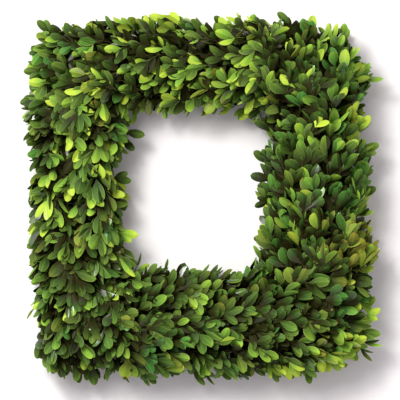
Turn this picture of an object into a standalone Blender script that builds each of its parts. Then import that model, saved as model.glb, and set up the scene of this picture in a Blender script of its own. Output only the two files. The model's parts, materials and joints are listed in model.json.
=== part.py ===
"""Square boxwood wreath, lying on its back.

A welded wire frame of four rings carries leafy bunches in three lanes: one towards the opening, one over
the crown and one towards the outside. Binding wire is wound round the stems and the two middle rings.
Every leaf points the same way round, counter-clockwise as seen from the front.

Metres, +Z out of the wreath's face. The origin is on the surface that the wreath lies on, under the
middle of its outline. Each bunch keeps to a cell of space bounded by planes, so no two bunches cross.
"""

import math
import random
from dataclasses import dataclass

import bmesh
import bpy
import numpy as np
from mathutils import Vector

# Core line: the middle of the four runs of foliage, as the photograph's strip of leaves gives it
CORE_LEFT = -0.136
CORE_RIGHT = 0.124
CORE_BOTTOM = -0.136
CORE_TOP = 0.1485
CORE_HEIGHT = 0.026

# Reach of the leaf tips from the core line, sideways in each run, upwards and towards the back
REACH_BOTTOM = 0.0605
REACH_RIGHT = 0.063
REACH_TOP = 0.0535
REACH_LEFT = 0.0555
REACH_CROWN = 0.050
REACH_BACK = 0.048
PROFILE_POWER = 2.2

# Packed stems and inner leaves of a bunch: half their outline across the run, as a share of their
# half width and a height, and how far short of the leaf tips they stop sideways
STEM_PROFILE = ((0.80, 0.01285), (1.00, 0.026), (0.85, 0.043), (0.38, 0.0555))
LEAF_STANDOUT = 0.0215
STEM_CORNER_SHARE = 1.08
STEM_OVERRUN = 0.060

# Leaf blade, with its foot sunk in the stems
LEAF_LENGTH = 0.034
LEAF_HALF_WIDTH = 0.0096
LEAF_THICKNESS = 0.0009
LEAF_SHOULDER = (0.40, 0.80)
LEAF_BROADEST = (0.82, 0.90)
LEAF_LEAN = math.radians(48.0)
LEAF_ROOT_DEPTH = 0.0028
LEAF_FACE_UP = 0.55
YAW_SPREAD = math.radians(22.0)
ROLL_SPREAD = math.radians(20.0)
LAST_ROLL_SPREAD = math.radians(60.0)

# Spacing of the leaf tips over the foliage's surface
ROW_PITCH = 0.0250
COLUMN_PITCH = 0.0215

# Clear space between bunches, and round the binding wire
CELL_GAP = 0.0003
BLADE_MARGIN = 0.0007
WIRE_CLEARANCE = 0.0028
BLADE_SPACING = 0.0017

# Back edge of the foliage, which slopes from the stems' back down to the surface that it lies on
HEM_DROP = 0.00045
HEM_OUTER = (0.056, 0.0010)

# Wire frame: ring centres across the run from the core line, and their heights
RING_RADIUS = 0.00175
RING_SIDES = 6
RING_FLAT = RING_RADIUS * math.cos(math.pi / RING_SIDES)
BACK_RING_ACROSS = 0.0305
FRONT_RING_ACROSS = 0.015
FRONT_RING_HEIGHT = 0.0110
RING_CORNER_RADIUS = 0.012
TIE_RADIUS = 0.0013
TIE_SIDES = 4

# Binding wire, with its running gap from the stems and from the front rings that it is wound round
BINDING_RADIUS = 0.0006
BINDING_GAP = 0.0003
BINDING_TURNS = 3
BINDING_END_GAP = 0.007
BINDING_BACK_ACROSS = FRONT_RING_ACROSS + RING_RADIUS + 0.0005
BINDING_BACK_HEIGHT = FRONT_RING_HEIGHT - RING_FLAT - BINDING_GAP - BINDING_RADIUS

# Stray sprigs: the run each grows from and its tip, which give the wreath its full outline
STRAY_TIPS = (
    ("right", (0.2010, 0.1335, 0.036)),
    ("right", (0.1970, 0.0540, 0.030)),
    ("top", (0.0850, 0.2080, 0.034)),
    ("top", (-0.0460, 0.2065, 0.030)),
    ("left", (-0.2010, 0.1090, 0.032)),
    ("left", (-0.2000, -0.0400, 0.028)),
    ("bottom", (-0.0580, -0.2080, 0.030)),
    ("bottom", (0.1190, -0.2050, 0.032)),
    ("left", (-0.0640, 0.0710, 0.036)),
    ("right", (0.0540, 0.0270, 0.038)),
)
SPRIG_LEAN = math.radians(64.0)
SPRIG_STALK_RADIUS = 0.0011
SPRIG_ROOT_DEPTH = 0.006
SPRIG_LEAF_LENGTH = 0.026
SPRIG_LEAF_HALF_WIDTH = 0.0076
SPRIG_PAIR_BACK = 0.011
SPRIG_PAIR_YAW = math.radians(38.0)
SPRIG_LEAF_SINK = 0.0035

CANDIDATES = 90
GOOD_ENOUGH = 12
SEED = 1607

UP = Vector((0.0, 0.0, 1.0))

LEAF_GREENS = {
    "leaf_shade_green": (0.035, 0.085, 0.016),
    "leaf_mid_green": (0.085, 0.200, 0.030),
    "leaf_lime_green": (0.230, 0.420, 0.045),
}


@dataclass(frozen=True)
class Side:
    """One run of the wreath between two corners of the core line."""

    name: str
    start: Vector
    flow: Vector
    length: float
    reach: float

    @property
    def out(self):
        return Vector((self.flow.y, -self.flow.x, 0.0))

    @property
    def end(self):
        return self.start + self.flow * self.length

    @property
    def stem_half_width(self):
        return self.reach - LEAF_STANDOUT

    @property
    def stem_profile(self):
        """Half the outline of the packed stems across the run, from the back up: (across, height)."""
        return [(share * self.stem_half_width, height) for share, height in STEM_PROFILE]


@dataclass(frozen=True)
class Lane:
    """Bunches that share a range of angles round the core line, from the crown towards the outside.

    The shift moves the bounds between the lane's bunches along the flow, so that stray sprigs fall
    well inside one of them.
    """

    name: str
    low: float
    high: float
    stations: int
    shift: float
    leaf_green: str

    @property
    def middle(self):
        return {"inner": -math.pi / 2, "crown": 0.0, "outer": math.pi / 2}[self.name]


CROWN_HALF_ANGLE = math.radians(38.0)
HEM_ANGLE = math.radians(118.0)

LANES = (
    Lane("inner", -HEM_ANGLE, -CROWN_HALF_ANGLE, 3, 0.0, "leaf_shade_green"),
    Lane("crown", -CROWN_HALF_ANGLE, CROWN_HALF_ANGLE, 4, 0.0, "leaf_lime_green"),
    Lane("outer", CROWN_HALF_ANGLE, HEM_ANGLE, 5, -0.015, "leaf_mid_green"),
)


def wreath_sides():
    """The four runs, in the order in which the leaves point."""
    corners = [
        Vector((CORE_LEFT, CORE_BOTTOM, 0.0)),
        Vector((CORE_RIGHT, CORE_BOTTOM, 0.0)),
        Vector((CORE_RIGHT, CORE_TOP, 0.0)),
        Vector((CORE_LEFT, CORE_TOP, 0.0)),
    ]
    reaches = {"bottom": REACH_BOTTOM, "right": REACH_RIGHT, "top": REACH_TOP, "left": REACH_LEFT}
    sides = []
    for index, (name, reach) in enumerate(reaches.items()):
        start = corners[index]
        run = corners[(index + 1) % 4] - start
        sides.append(Side(name, start, run.normalized(), run.length, reach))
    return sides


# Planes are (normal, offset): a point is inside where normal . point is over the offset.


def plane_through(point, normal):
    unit = normal.normalized()
    return unit, unit.dot(point)


def mitre_planes(side):
    """The upright planes through the side's two corners, which part it from its neighbours."""
    return [
        plane_through(side.start, side.flow + side.out),
        plane_through(side.end, side.out - side.flow),
    ]


def core_point(side, along, across=0.0, height=CORE_HEIGHT):
    return side.start + side.flow * along + side.out * across + UP * height


def lane_planes(side, lane):
    """The planes that part a lane from the other two."""
    foot = core_point(side, 0.0)
    outwards = side.out * math.cos(CROWN_HALF_ANGLE) - UP * math.sin(CROWN_HALF_ANGLE)
    inwards = -side.out * math.cos(CROWN_HALF_ANGLE) - UP * math.sin(CROWN_HALF_ANGLE)
    if lane.name == "crown":
        return [plane_through(foot, -outwards), plane_through(foot, -inwards)]
    if lane.name == "outer":
        return [plane_through(foot, outwards), plane_through(foot, side.out)]
    return [plane_through(foot, inwards), plane_through(foot, -side.out)]


def lean_direction(side, lane):
    return side.out * math.sin(lane.middle) + UP * math.cos(lane.middle)


def lane_reach(side, lane):
    return REACH_CROWN if lane.name == "crown" else side.reach


def station_limits(side, lane):
    """Where the lane's leaf tips begin and end along the run."""
    if lane.name == "outer":
        corner_arc = side.reach * math.pi / 4
        return -corner_arc, side.length + corner_arc
    if lane.name == "inner":
        return side.reach, side.length - side.reach
    return 0.0, side.length


def station_plane(side, lane, station):
    """The leaning plane between two bunches of a lane, as the second one's inside."""
    low, high = station_limits(side, lane)
    along = low + (high - low) * station / lane.stations + lane.shift
    lean = lean_direction(side, lane)
    at_surface = core_point(side, along) + lean * lane_reach(side, lane)
    normal = side.flow * math.sin(LEAF_LEAN) - lean * math.cos(LEAF_LEAN)
    return plane_through(at_surface, normal)


def station_planes(side, lane, station):
    planes = []
    if station > 0:
        planes.append(station_plane(side, lane, station))
    if station < lane.stations - 1:
        normal, offset = station_plane(side, lane, station + 1)
        planes.append((-normal, -offset))
    return planes


def hem_plane(side, lane):
    """The back edge of the foliage, which slopes from the stems to the surface."""
    sign = -1.0 if lane.name == "inner" else 1.0
    across, height = side.stem_profile[0]
    inner = core_point(side, 0.0, sign * across, height - HEM_DROP)
    outer = core_point(side, 0.0, sign * HEM_OUTER[0], HEM_OUTER[1])
    slope = (outer - inner).normalized()
    return plane_through(inner, UP - slope * slope.dot(UP))


def cell_planes(side, lane, station):
    """Every plane that bounds one bunch."""
    planes = mitre_planes(side) + lane_planes(side, lane) + station_planes(side, lane, station)
    if lane.name != "crown":
        planes.append(hem_plane(side, lane))
    return planes


def stem_planes(side):
    """The faces of the packed stems across the run, as planes with the stems inside."""
    half = side.stem_profile
    outline = half + [(-across, height) for across, height in reversed(half)]
    planes = []
    for (across_a, height_a), (across_b, height_b) in zip(outline, outline[1:] + outline[:1]):
        foot = core_point(side, 0.0, across_a, height_a)
        inward = side.out * (height_a - height_b) + UP * (across_b - across_a)
        planes.append(plane_through(foot, inward))
    middle = core_point(side, 0.0)
    return [(n, d) if n.dot(middle) > d else (-n, -d) for n, d in planes]


def stem_corner_planes(side):
    """The blunt outer corners of the packed stems."""
    planes = []
    for corner, along in ((side.start, -side.flow), (side.end, side.flow)):
        outward = (side.out + along).normalized()
        reach = side.stem_half_width * STEM_CORNER_SHARE
        planes.append(plane_through(corner + outward * reach, -outward))
    return planes


def depth_inside(point, planes):
    """How far a point lies inside the nearest of the planes; negative outside."""
    return min(normal.dot(point) - offset for normal, offset in planes)


def reach_at(side, angle):
    """Distance of the leaf tips from the core line at an angle from straight up."""
    upward = REACH_CROWN if math.cos(angle) > 0 else REACH_BACK
    across = (abs(math.sin(angle)) / side.reach) ** PROFILE_POWER
    rise = (abs(math.cos(angle)) / upward) ** PROFILE_POWER
    return (across + rise) ** (-1 / PROFILE_POWER)


def surface_frame(side, along, angle):
    """(leaf tip, direction away from the core line, direction of flow) on the foliage's surface."""
    reach = reach_at(side, angle)
    across = reach * math.sin(angle)
    foot = along
    out, flow = side.out, side.flow
    if across > 0.0 and not 0.0 <= along <= side.length:
        foot = min(max(along, 0.0), side.length)
        turn = (along - foot) / across
        out = side.out * math.cos(turn) + side.flow * math.sin(turn)
        flow = side.flow * math.cos(turn) - side.out * math.sin(turn)
    radial = out * math.sin(angle) + UP * math.cos(angle)
    return core_point(side, foot) + radial * reach, radial, flow


def surface_span(side, angle):
    """The stretch along a run that leaf tips cover at an angle, from mitre to mitre."""
    across = reach_at(side, angle) * math.sin(angle)
    if across > 0.0:
        corner_arc = across * math.pi / 4
        return -corner_arc, side.length + corner_arc
    return -across, side.length + across


def leaf_targets(side, lane, rng):
    """Leaf tips spread evenly over a lane in staggered rows: (tip, radial, flow)."""
    reach = 0.5 * (reach_at(side, lane.low) + reach_at(side, lane.high))
    columns = max(3, round((lane.high - lane.low) * reach / COLUMN_PITCH))
    targets = []
    for column in range(columns):
        angle = lane.low + (lane.high - lane.low) * (column + 0.5) / columns
        low, high = surface_span(side, angle)
        rows = max(3, round((high - low) / ROW_PITCH))
        for row in range(rows):
            stagger = 0.25 if column % 2 else -0.25
            share = (row + 0.5 + stagger + rng.uniform(-0.15, 0.15)) / rows
            wander = rng.uniform(-0.12, 0.12) * (lane.high - lane.low) / columns
            targets.append(surface_frame(side, low + (high - low) * share, angle + wander))
    return targets


def binding_outline(side):
    """One turn of the binding wire across the run: round the stems and under the two front rings."""
    turn = []
    standoff = (BINDING_RADIUS + BINDING_GAP) * 1.2
    for across, height in side.stem_profile:
        away = Vector((across, height - CORE_HEIGHT)).normalized() * standoff
        turn.append((across + away.x, height + away.y))
    left = [(-across, height) for across, height in reversed(turn)]
    back = [(-BINDING_BACK_ACROSS, BINDING_BACK_HEIGHT), (BINDING_BACK_ACROSS, BINDING_BACK_HEIGHT)]
    return turn + left + back


def binding_path(side):
    """The binding wire's points along one run, clear of the corners."""
    outline = binding_outline(side)
    ends = [math.dist(a, b) for a, b in zip(outline, outline[1:] + outline[:1])]
    girth = sum(ends)
    inner_corner = max(REACH_RIGHT, REACH_LEFT) - LEAF_STANDOUT + BINDING_END_GAP
    low, high = inner_corner, side.length - inner_corner
    pitch = (high - low) / BINDING_TURNS
    points = []
    for turn in range(BINDING_TURNS):
        gone = 0.0
        for (across, height), step in zip(outline, ends):
            points.append(core_point(side, low + pitch * (turn + gone / girth), across, height))
            gone += step
    across, height = outline[0]
    points.append(core_point(side, high, across, height))
    return points


def dense_points(points, step=0.001):
    """Points no further apart than the step along a line."""
    dense = []
    for a, b in zip(points, points[1:]):
        count = max(1, math.ceil((b - a).length / step))
        dense += [a.lerp(b, i / count) for i in range(count)]
    return np.array([tuple(p) for p in dense + [points[-1]]])


@dataclass
class Blade:
    """One leaf: its foot, its directions along, across and out of its face, and its size."""

    foot: Vector
    along: Vector
    across: Vector
    face: Vector
    length: float
    half_width: float

    def point(self, share, width):
        """A point of the blade at a share of its length and of its half width."""
        sideways = self.across * (width * self.half_width)
        return self.foot + self.along * (share * self.length) + sideways

    def outline(self):
        shoulder, broadest = LEAF_SHOULDER, LEAF_BROADEST
        return [
            self.point(0.0, 0.0),
            self.point(shoulder[0], shoulder[1]),
            self.point(broadest[0], broadest[1]),
            self.point(1.0, 0.0),
            self.point(broadest[0], -broadest[1]),
            self.point(shoulder[0], -shoulder[1]),
        ]

    def samples(self):
        """Points over the part of the blade that stands out of the stems."""
        found = []
        for step in range(12):
            share = 0.2 + 0.8 * step / 11
            width = min(0.95, 2.0 * share, 5.0 * (1.02 - share))
            found += [tuple(self.point(share, width * w / 3)) for w in range(-3, 4)]
        return np.array(found)

    def turned(self, yaw, foot, length, half_width):
        """A smaller blade in the same plane, turned and standing on another foot."""
        along = (self.along * math.cos(yaw) + self.across * math.sin(yaw)).normalized()
        return Blade(foot, along, along.cross(self.face), self.face, length, half_width)


def nearest(points, others):
    """The smallest distance between two sets of points."""
    gaps = points[:, None, :] - others[None, :, :]
    return math.sqrt((gaps**2).sum(axis=2).min())


@dataclass
class Bunch:
    """What the leaves of one bunch are fitted to, and those that already stand."""

    planes: list
    stems: list
    wire: np.ndarray
    middle: Vector
    standing: list

    def holds(self, blades):
        """Whether blades keep to the bunch's cell and clear the binding wire."""
        points = [point for blade in blades for point in blade.outline()]
        if min(depth_inside(point, self.planes) for point in points) < BLADE_MARGIN:
            return False
        return all(nearest(blade.samples(), self.wire) >= WIRE_CLEARANCE for blade in blades)

    def crossings(self, blades):
        """How many standing leaves the blades cross or nearly touch."""
        return sum(
            nearest(blade.samples(), other) < BLADE_SPACING
            for blade in blades
            for other in self.standing
        )


def blade_towards(target, middle, lean, length, half_width, fan, roll_spread, rng):
    """A blade with its tip at a point, leaning with the flow, or fanned out from the bunch's middle."""
    tip, radial, flow = target
    leaning = flow * math.cos(lean) + radial * math.sin(lean)
    fanned = (tip - middle).normalized()
    along = (leaning * (1.0 - fan) + fanned * fan).normalized()
    face = radial * math.cos(lean) - flow * math.sin(lean) + UP * LEAF_FACE_UP
    face = (face - along * face.dot(along)).normalized()
    across = along.cross(face)
    yaw = rng.uniform(-YAW_SPREAD, YAW_SPREAD) * (1.0 - 0.6 * fan)
    along = (along * math.cos(yaw) + across * math.sin(yaw)).normalized()
    across = along.cross(face).normalized()
    roll = rng.uniform(-roll_spread, roll_spread)
    across, face = (
        across * math.cos(roll) + face * math.sin(roll),
        face * math.cos(roll) - across * math.sin(roll),
    )
    return Blade(tip - along * length, along, across, face, length, half_width)


def fit_leaf(target, bunch, rng):
    """The blade for one leaf tip that keeps to its cell, roots in the stems and crosses the fewest."""
    tip, radial, flow = target
    best, fewest = None, math.inf
    inwards = (bunch.middle - tip).normalized()
    for attempt in range(CANDIDATES):
        strain = attempt / CANDIDATES
        fan = min(1.0, max(0.0, rng.gauss(1.2 * strain, 0.15)))
        length = LEAF_LENGTH * rng.uniform(0.96, 1.06)
        half_width = LEAF_HALF_WIDTH * rng.uniform(0.88, 1.05)
        roll_spread = ROLL_SPREAD + (LAST_ROLL_SPREAD - ROLL_SPREAD) * strain
        shift = 0.006 * strain
        moved = tip + inwards * shift + flow * rng.uniform(-shift, shift)
        blade = blade_towards(
            (moved, radial, flow),
            bunch.middle,
            LEAF_LEAN,
            length,
            half_width,
            fan,
            roll_spread,
            rng,
        )
        if depth_inside(blade.foot, bunch.stems) < LEAF_ROOT_DEPTH or not bunch.holds([blade]):
            continue
        crossings = bunch.crossings([blade])
        if crossings < fewest:
            best, fewest = [blade], crossings
        if not crossings and (attempt >= GOOD_ENOUGH or fan < 0.35):
            break
    return best


def fit_sprig(target, bunch, rng):
    """The end leaf of a stray sprig with the pair behind it, and the stalk's line into the stems."""
    tip, radial, flow = target
    for attempt in range(CANDIDATES):
        fan = attempt / CANDIDATES
        end_leaf = blade_towards(
            target,
            bunch.middle,
            SPRIG_LEAN,
            SPRIG_LEAF_LENGTH,
            SPRIG_LEAF_HALF_WIDTH,
            fan,
            LAST_ROLL_SPREAD,
            rng,
        )
        pair_foot = end_leaf.foot - end_leaf.along * SPRIG_PAIR_BACK
        pair = [
            end_leaf.turned(yaw, pair_foot, SPRIG_LEAF_LENGTH * 0.92, SPRIG_LEAF_HALF_WIDTH)
            for yaw in (-SPRIG_PAIR_YAW, SPRIG_PAIR_YAW)
        ]
        blades = [end_leaf] + pair
        if not bunch.holds(blades):
            continue
        root = pair_foot
        while depth_inside(root, bunch.stems) < SPRIG_ROOT_DEPTH:
            root = root - end_leaf.along * 0.002
            if (root - tip).length > 0.075:
                break
        if depth_inside(root, bunch.stems) < SPRIG_ROOT_DEPTH:
            continue
        if depth_inside(root, bunch.planes) < SPRIG_STALK_RADIUS + CELL_GAP:
            continue
        stalk = (root, end_leaf.foot + end_leaf.along * SPRIG_LEAF_SINK)
        if nearest(dense_points(stalk), bunch.wire) >= WIRE_CLEARANCE:
            return blades, stalk
    return None, None


def new_material(name, colour, roughness, metallic=0.0):
    material = bpy.data.materials.new(name)
    material.diffuse_color = (*colour, 1.0)
    material.use_nodes = True
    shader = material.node_tree.nodes["Principled BSDF"]
    shader.inputs["Base Color"].default_value = (*colour, 1.0)
    shader.inputs["Roughness"].default_value = roughness
    shader.inputs["Metallic"].default_value = metallic
    return material


def new_object(name, bm, collection, material=None):
    bmesh.ops.recalc_face_normals(bm, faces=bm.faces[:])
    mesh = bpy.data.meshes.new(name)
    bm.to_mesh(mesh)
    bm.free()
    if material:
        mesh.materials.append(material)
    obj = bpy.data.objects.new(name, mesh)
    collection.objects.link(obj)
    return obj


def cut_to_planes(bm, planes, gap):
    """Keeps what lies inside every plane, closing each cut with a face."""
    for normal, offset in planes:
        cut = bmesh.ops.bisect_plane(
            bm,
            geom=bm.verts[:] + bm.edges[:] + bm.faces[:],
            dist=1e-7,
            plane_co=normal * (offset + gap),
            plane_no=normal,
            clear_inner=True,
        )
        edges = [item for item in cut["geom_cut"] if isinstance(item, bmesh.types.BMEdge)]
        if edges:
            bmesh.ops.contextual_create(bm, geom=edges)


def stem_solid(side, planes):
    """A bunch's packed stems: a block cut to the stems' outline and to the bunch's cell."""
    bm = bmesh.new()
    bmesh.ops.create_cube(bm, size=1.0)
    middle = core_point(side, side.length / 2)
    size = side.length + 2 * STEM_OVERRUN
    for vert in bm.verts:
        x, y, z = vert.co * size
        vert.co = middle + side.flow * x + side.out * y + UP * z
    cut_to_planes(bm, stem_planes(side) + stem_corner_planes(side), 0.0)
    cut_to_planes(bm, planes, CELL_GAP / 2)
    return bm


def blade_object(blade, name, collection):
    """A leaf blade as a plate of its outline and thickness."""
    bm = bmesh.new()
    lift = blade.face * (LEAF_THICKNESS / 2)
    rims = [[bm.verts.new(point + way) for point in blade.outline()] for way in (lift, -lift)]
    bm.faces.new(rims[0])
    bm.faces.new(rims[1][::-1])
    count = len(rims[0])
    for index in range(count):
        after = (index + 1) % count
        bm.faces.new((rims[0][index], rims[1][index], rims[1][after], rims[0][after]))
    return new_object(name, bm, collection)


def join_into(base, collection):
    """Joins every object of a collection into the base by one Boolean union, and removes them."""
    union = base.modifiers.new("join", "BOOLEAN")
    union.operation = "UNION"
    union.operand_type = "COLLECTION"
    union.collection = collection
    union.solver = "MANIFOLD"
    bpy.context.view_layer.update()
    graph = bpy.context.evaluated_depsgraph_get()
    joined = bpy.data.meshes.new_from_object(base.evaluated_get(graph))
    base.modifiers.remove(union)
    base.data = joined
    for obj in list(collection.objects):
        bpy.data.objects.remove(obj)


def bunch_name(side, lane, station):
    return f"bunch_{side.name}_{lane.name}_{station + 1}"


def stalk_object(ends, name, collection):
    """A sprig's bare stalk as a thin bar of square section."""
    root, tip = ends
    along = (tip - root).normalized()
    side = along.orthogonal().normalized() * SPRIG_STALK_RADIUS
    across = along.cross(side)
    bm = bmesh.new()
    rims = []
    for end in ends:
        rims.append([bm.verts.new(end + way) for way in (side, across, -side, -across)])
    bm.faces.new(rims[0][::-1])
    bm.faces.new(rims[1])
    for index in range(4):
        after = (index + 1) % 4
        bm.faces.new((rims[0][index], rims[0][after], rims[1][after], rims[1][index]))
    return new_object(name, bm, collection)


def make_bunch(side, lane, station, targets, strays, wire, parts, repeats, material, rng):
    """One wired bunch: its packed stems with leaves standing out of them, as one solid."""
    planes = cell_planes(side, lane, station)
    bm = stem_solid(side, planes)
    middle = sum((v.co for v in bm.verts), Vector()) / len(bm.verts)
    stems = stem_planes(side) + stem_corner_planes(side)
    bunch = Bunch(planes, stems, wire, middle, [])
    name = bunch_name(side, lane, station)
    solid = new_object(name, bm, parts, material)
    for target in strays:
        blades, stalk = fit_sprig(target, bunch, rng)
        if blades is None:
            print(f"no room for the sprig at {tuple(target[0])}")
            continue
        stalk_object(stalk, f"{name}_stalk", repeats)
        for blade in blades:
            bunch.standing.append(blade.samples())
            blade_object(blade, f"{name}_leaf", repeats)
    for target in targets:
        blades = fit_leaf(target, bunch, rng)
        for blade in blades or []:
            bunch.standing.append(blade.samples())
            blade_object(blade, f"{name}_leaf", repeats)
    join_into(solid, repeats)
    return len(bunch.standing), len(targets)


def stations_holding(side, lane, targets):
    """Sorts leaf tips by the bunch whose cell they lie in."""
    sorted_targets = [[] for _ in range(lane.stations)]
    for target in targets:
        station = 0
        for later in range(1, lane.stations):
            normal, offset = station_plane(side, lane, later)
            station += normal.dot(target[0]) > offset
        sorted_targets[station].append(target)
    return sorted_targets


def stray_targets(side, lane):
    """The stray leaf tips that lie in a lane of a run: (tip, radial, flow)."""
    found = []
    for name, tip in STRAY_TIPS:
        away = Vector(tip) - core_point(side, 0.0)
        across = away.dot(side.out)
        angle = math.atan2(across, away.z)
        if name == side.name and lane.low < angle < lane.high:
            radial = (side.out * across + UP * away.z).normalized()
            found.append((Vector(tip), radial, side.flow))
    return found


def poly_wire(name, points, radius, sides, collection, cyclic=False):
    """A bent wire of few sides as a curve, with one flat of it towards the back.

    A square section has a corner at its lowest point until it is turned; one of six sides has a flat.
    """
    curve = bpy.data.curves.new(name, "CURVE")
    curve.dimensions = "3D"
    curve.bevel_depth = radius
    curve.bevel_resolution = (sides - 4) // 2
    curve.use_fill_caps = not cyclic
    curve.twist_mode = "Z_UP"
    spline = curve.splines.new("POLY")
    spline.points.add(len(points) - 1)
    for point, place in zip(spline.points, points):
        point.co = (*place, 1.0)
        point.tilt = math.pi / sides if sides % 4 == 0 else 0.0
    spline.use_cyclic_u = cyclic
    obj = bpy.data.objects.new(name, curve)
    collection.objects.link(obj)
    return obj


def mesh_from_curve(obj, collection):
    """A curve's solid as a mesh object, with its caps welded on."""
    bpy.context.view_layer.update()
    graph = bpy.context.evaluated_depsgraph_get()
    mesh = bpy.data.meshes.new_from_object(obj.evaluated_get(graph))
    bm = bmesh.new()
    bm.from_mesh(mesh)
    bmesh.ops.remove_doubles(bm, verts=bm.verts[:], dist=1e-6)
    name = obj.name
    bpy.data.objects.remove(obj)
    bpy.data.meshes.remove(mesh)
    return new_object(name, bm, collection)


def ring_points(across, height):
    """A ring of the frame, at a distance from the core line, with bent corners."""
    radius = RING_CORNER_RADIUS
    low_x, high_x = CORE_LEFT - across, CORE_RIGHT + across
    low_y, high_y = CORE_BOTTOM - across, CORE_TOP + across
    centres = [
        (high_x - radius, high_y - radius, 0.0),
        (low_x + radius, high_y - radius, 90.0),
        (low_x + radius, low_y + radius, 180.0),
        (high_x - radius, low_y + radius, 270.0),
    ]
    points = []
    for x, y, first in centres:
        for turn in (0.0, 45.0, 90.0):
            angle = math.radians(first + turn)
            points.append((x + radius * math.cos(angle), y + radius * math.sin(angle), height))
    return points


def tie_points(foot, out, stretch):
    """A cross tie from the outer back ring over the two front rings to the inner back ring."""
    places = (
        (BACK_RING_ACROSS, RING_FLAT),
        (FRONT_RING_ACROSS, FRONT_RING_HEIGHT),
        (-FRONT_RING_ACROSS, FRONT_RING_HEIGHT),
        (-BACK_RING_ACROSS, RING_FLAT),
    )
    return [tuple(foot + out * stretch(across) + UP * height) for across, height in places]


def corner_stretch(across):
    """Distance from a corner of the core line to a ring's bent corner, along the diagonal."""
    return (across - RING_CORNER_RADIUS) * math.sqrt(2.0) + RING_CORNER_RADIUS


def make_wire_frame(sides, parts, repeats, material):
    """The welded frame: two back rings, two raised front rings and eight cross ties."""
    rings = []
    for across, height in (
        (BACK_RING_ACROSS, RING_FLAT),
        (-BACK_RING_ACROSS, RING_FLAT),
        (FRONT_RING_ACROSS, FRONT_RING_HEIGHT),
        (-FRONT_RING_ACROSS, FRONT_RING_HEIGHT),
    ):
        points = ring_points(across, height)
        rings.append(poly_wire("ring", points, RING_RADIUS, RING_SIDES, repeats, cyclic=True))
    ties = []
    for side in sides:
        outward = (side.out - side.flow).normalized()
        middle = side.start + side.flow * (side.length / 2)
        ties.append(tie_points(side.start, outward, corner_stretch))
        ties.append(tie_points(middle, side.out, lambda across: across))
    bars = [poly_wire("tie", points, TIE_RADIUS, TIE_SIDES, repeats) for points in ties]
    solids = [mesh_from_curve(obj, repeats) for obj in rings + bars]
    frame = solids[0]
    repeats.objects.unlink(frame)
    parts.objects.link(frame)
    frame.name = "wire_frame"
    join_into(frame, repeats)
    frame.data.materials.clear()
    frame.data.materials.append(material)
    return frame


def make_binding_wire(side, points, parts, material):
    """The binding wire along one run, wound round the stems and the front rings."""
    name = f"binding_wire_{side.name}"
    wire = poly_wire(name, [tuple(p) for p in points], BINDING_RADIUS, 4, parts)
    wire.data.materials.append(material)
    return wire


def clear_scene():
    for obj in list(bpy.data.objects):
        bpy.data.objects.remove(obj)


def build_wreath():
    clear_scene()
    parts = bpy.data.collections.new("boxwood_wreath")
    repeats = bpy.data.collections.new("repeats")
    for collection in (parts, repeats):
        bpy.context.scene.collection.children.link(collection)
    greens = {name: new_material(name, colour, 0.5) for name, colour in LEAF_GREENS.items()}
    frame_green = new_material("painted_frame_wire", (0.020, 0.045, 0.022), 0.45, 0.4)
    binding_green = new_material("painted_binding_wire", (0.030, 0.070, 0.030), 0.5, 0.4)
    sides = wreath_sides()
    make_wire_frame(sides, parts, repeats, frame_green)
    leaves, wanted = 0, 0
    for side_index, side in enumerate(sides):
        path = binding_path(side)
        make_binding_wire(side, path, parts, binding_green)
        wire = dense_points(path)
        for lane_index, lane in enumerate(LANES):
            rng = random.Random(SEED + 10 * side_index + lane_index)
            targets = stations_holding(side, lane, leaf_targets(side, lane, rng))
            strays = stations_holding(side, lane, stray_targets(side, lane))
            for station in range(lane.stations):
                stood, asked = make_bunch(
                    side,
                    lane,
                    station,
                    targets[station],
                    strays[station],
                    wire,
                    parts,
                    repeats,
                    greens[lane.leaf_green],
                    rng,
                )
                leaves += stood
                wanted += asked
    bpy.data.collections.remove(repeats)
    print(f"{leaves} leaves stand, for {wanted} leaf tips and {len(STRAY_TIPS)} sprigs")


build_wreath()
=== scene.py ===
"""Looks of a square boxwood wreath that lies on its back.

Leafy shoots, their stems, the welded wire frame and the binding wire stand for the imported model's
plain solids, in a plain studio seen from straight above. Metres, in the model's own axes: +Z out of
the wreath's face and +Y towards its top. Angles round a run of foliage are measured from straight
up towards its outside.
"""

from __future__ import annotations

import json
import logging
import math
import random
from dataclasses import dataclass, field
from enum import Enum
from functools import cached_property

import bmesh
import bpy
from mathutils import Matrix, Vector

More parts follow.
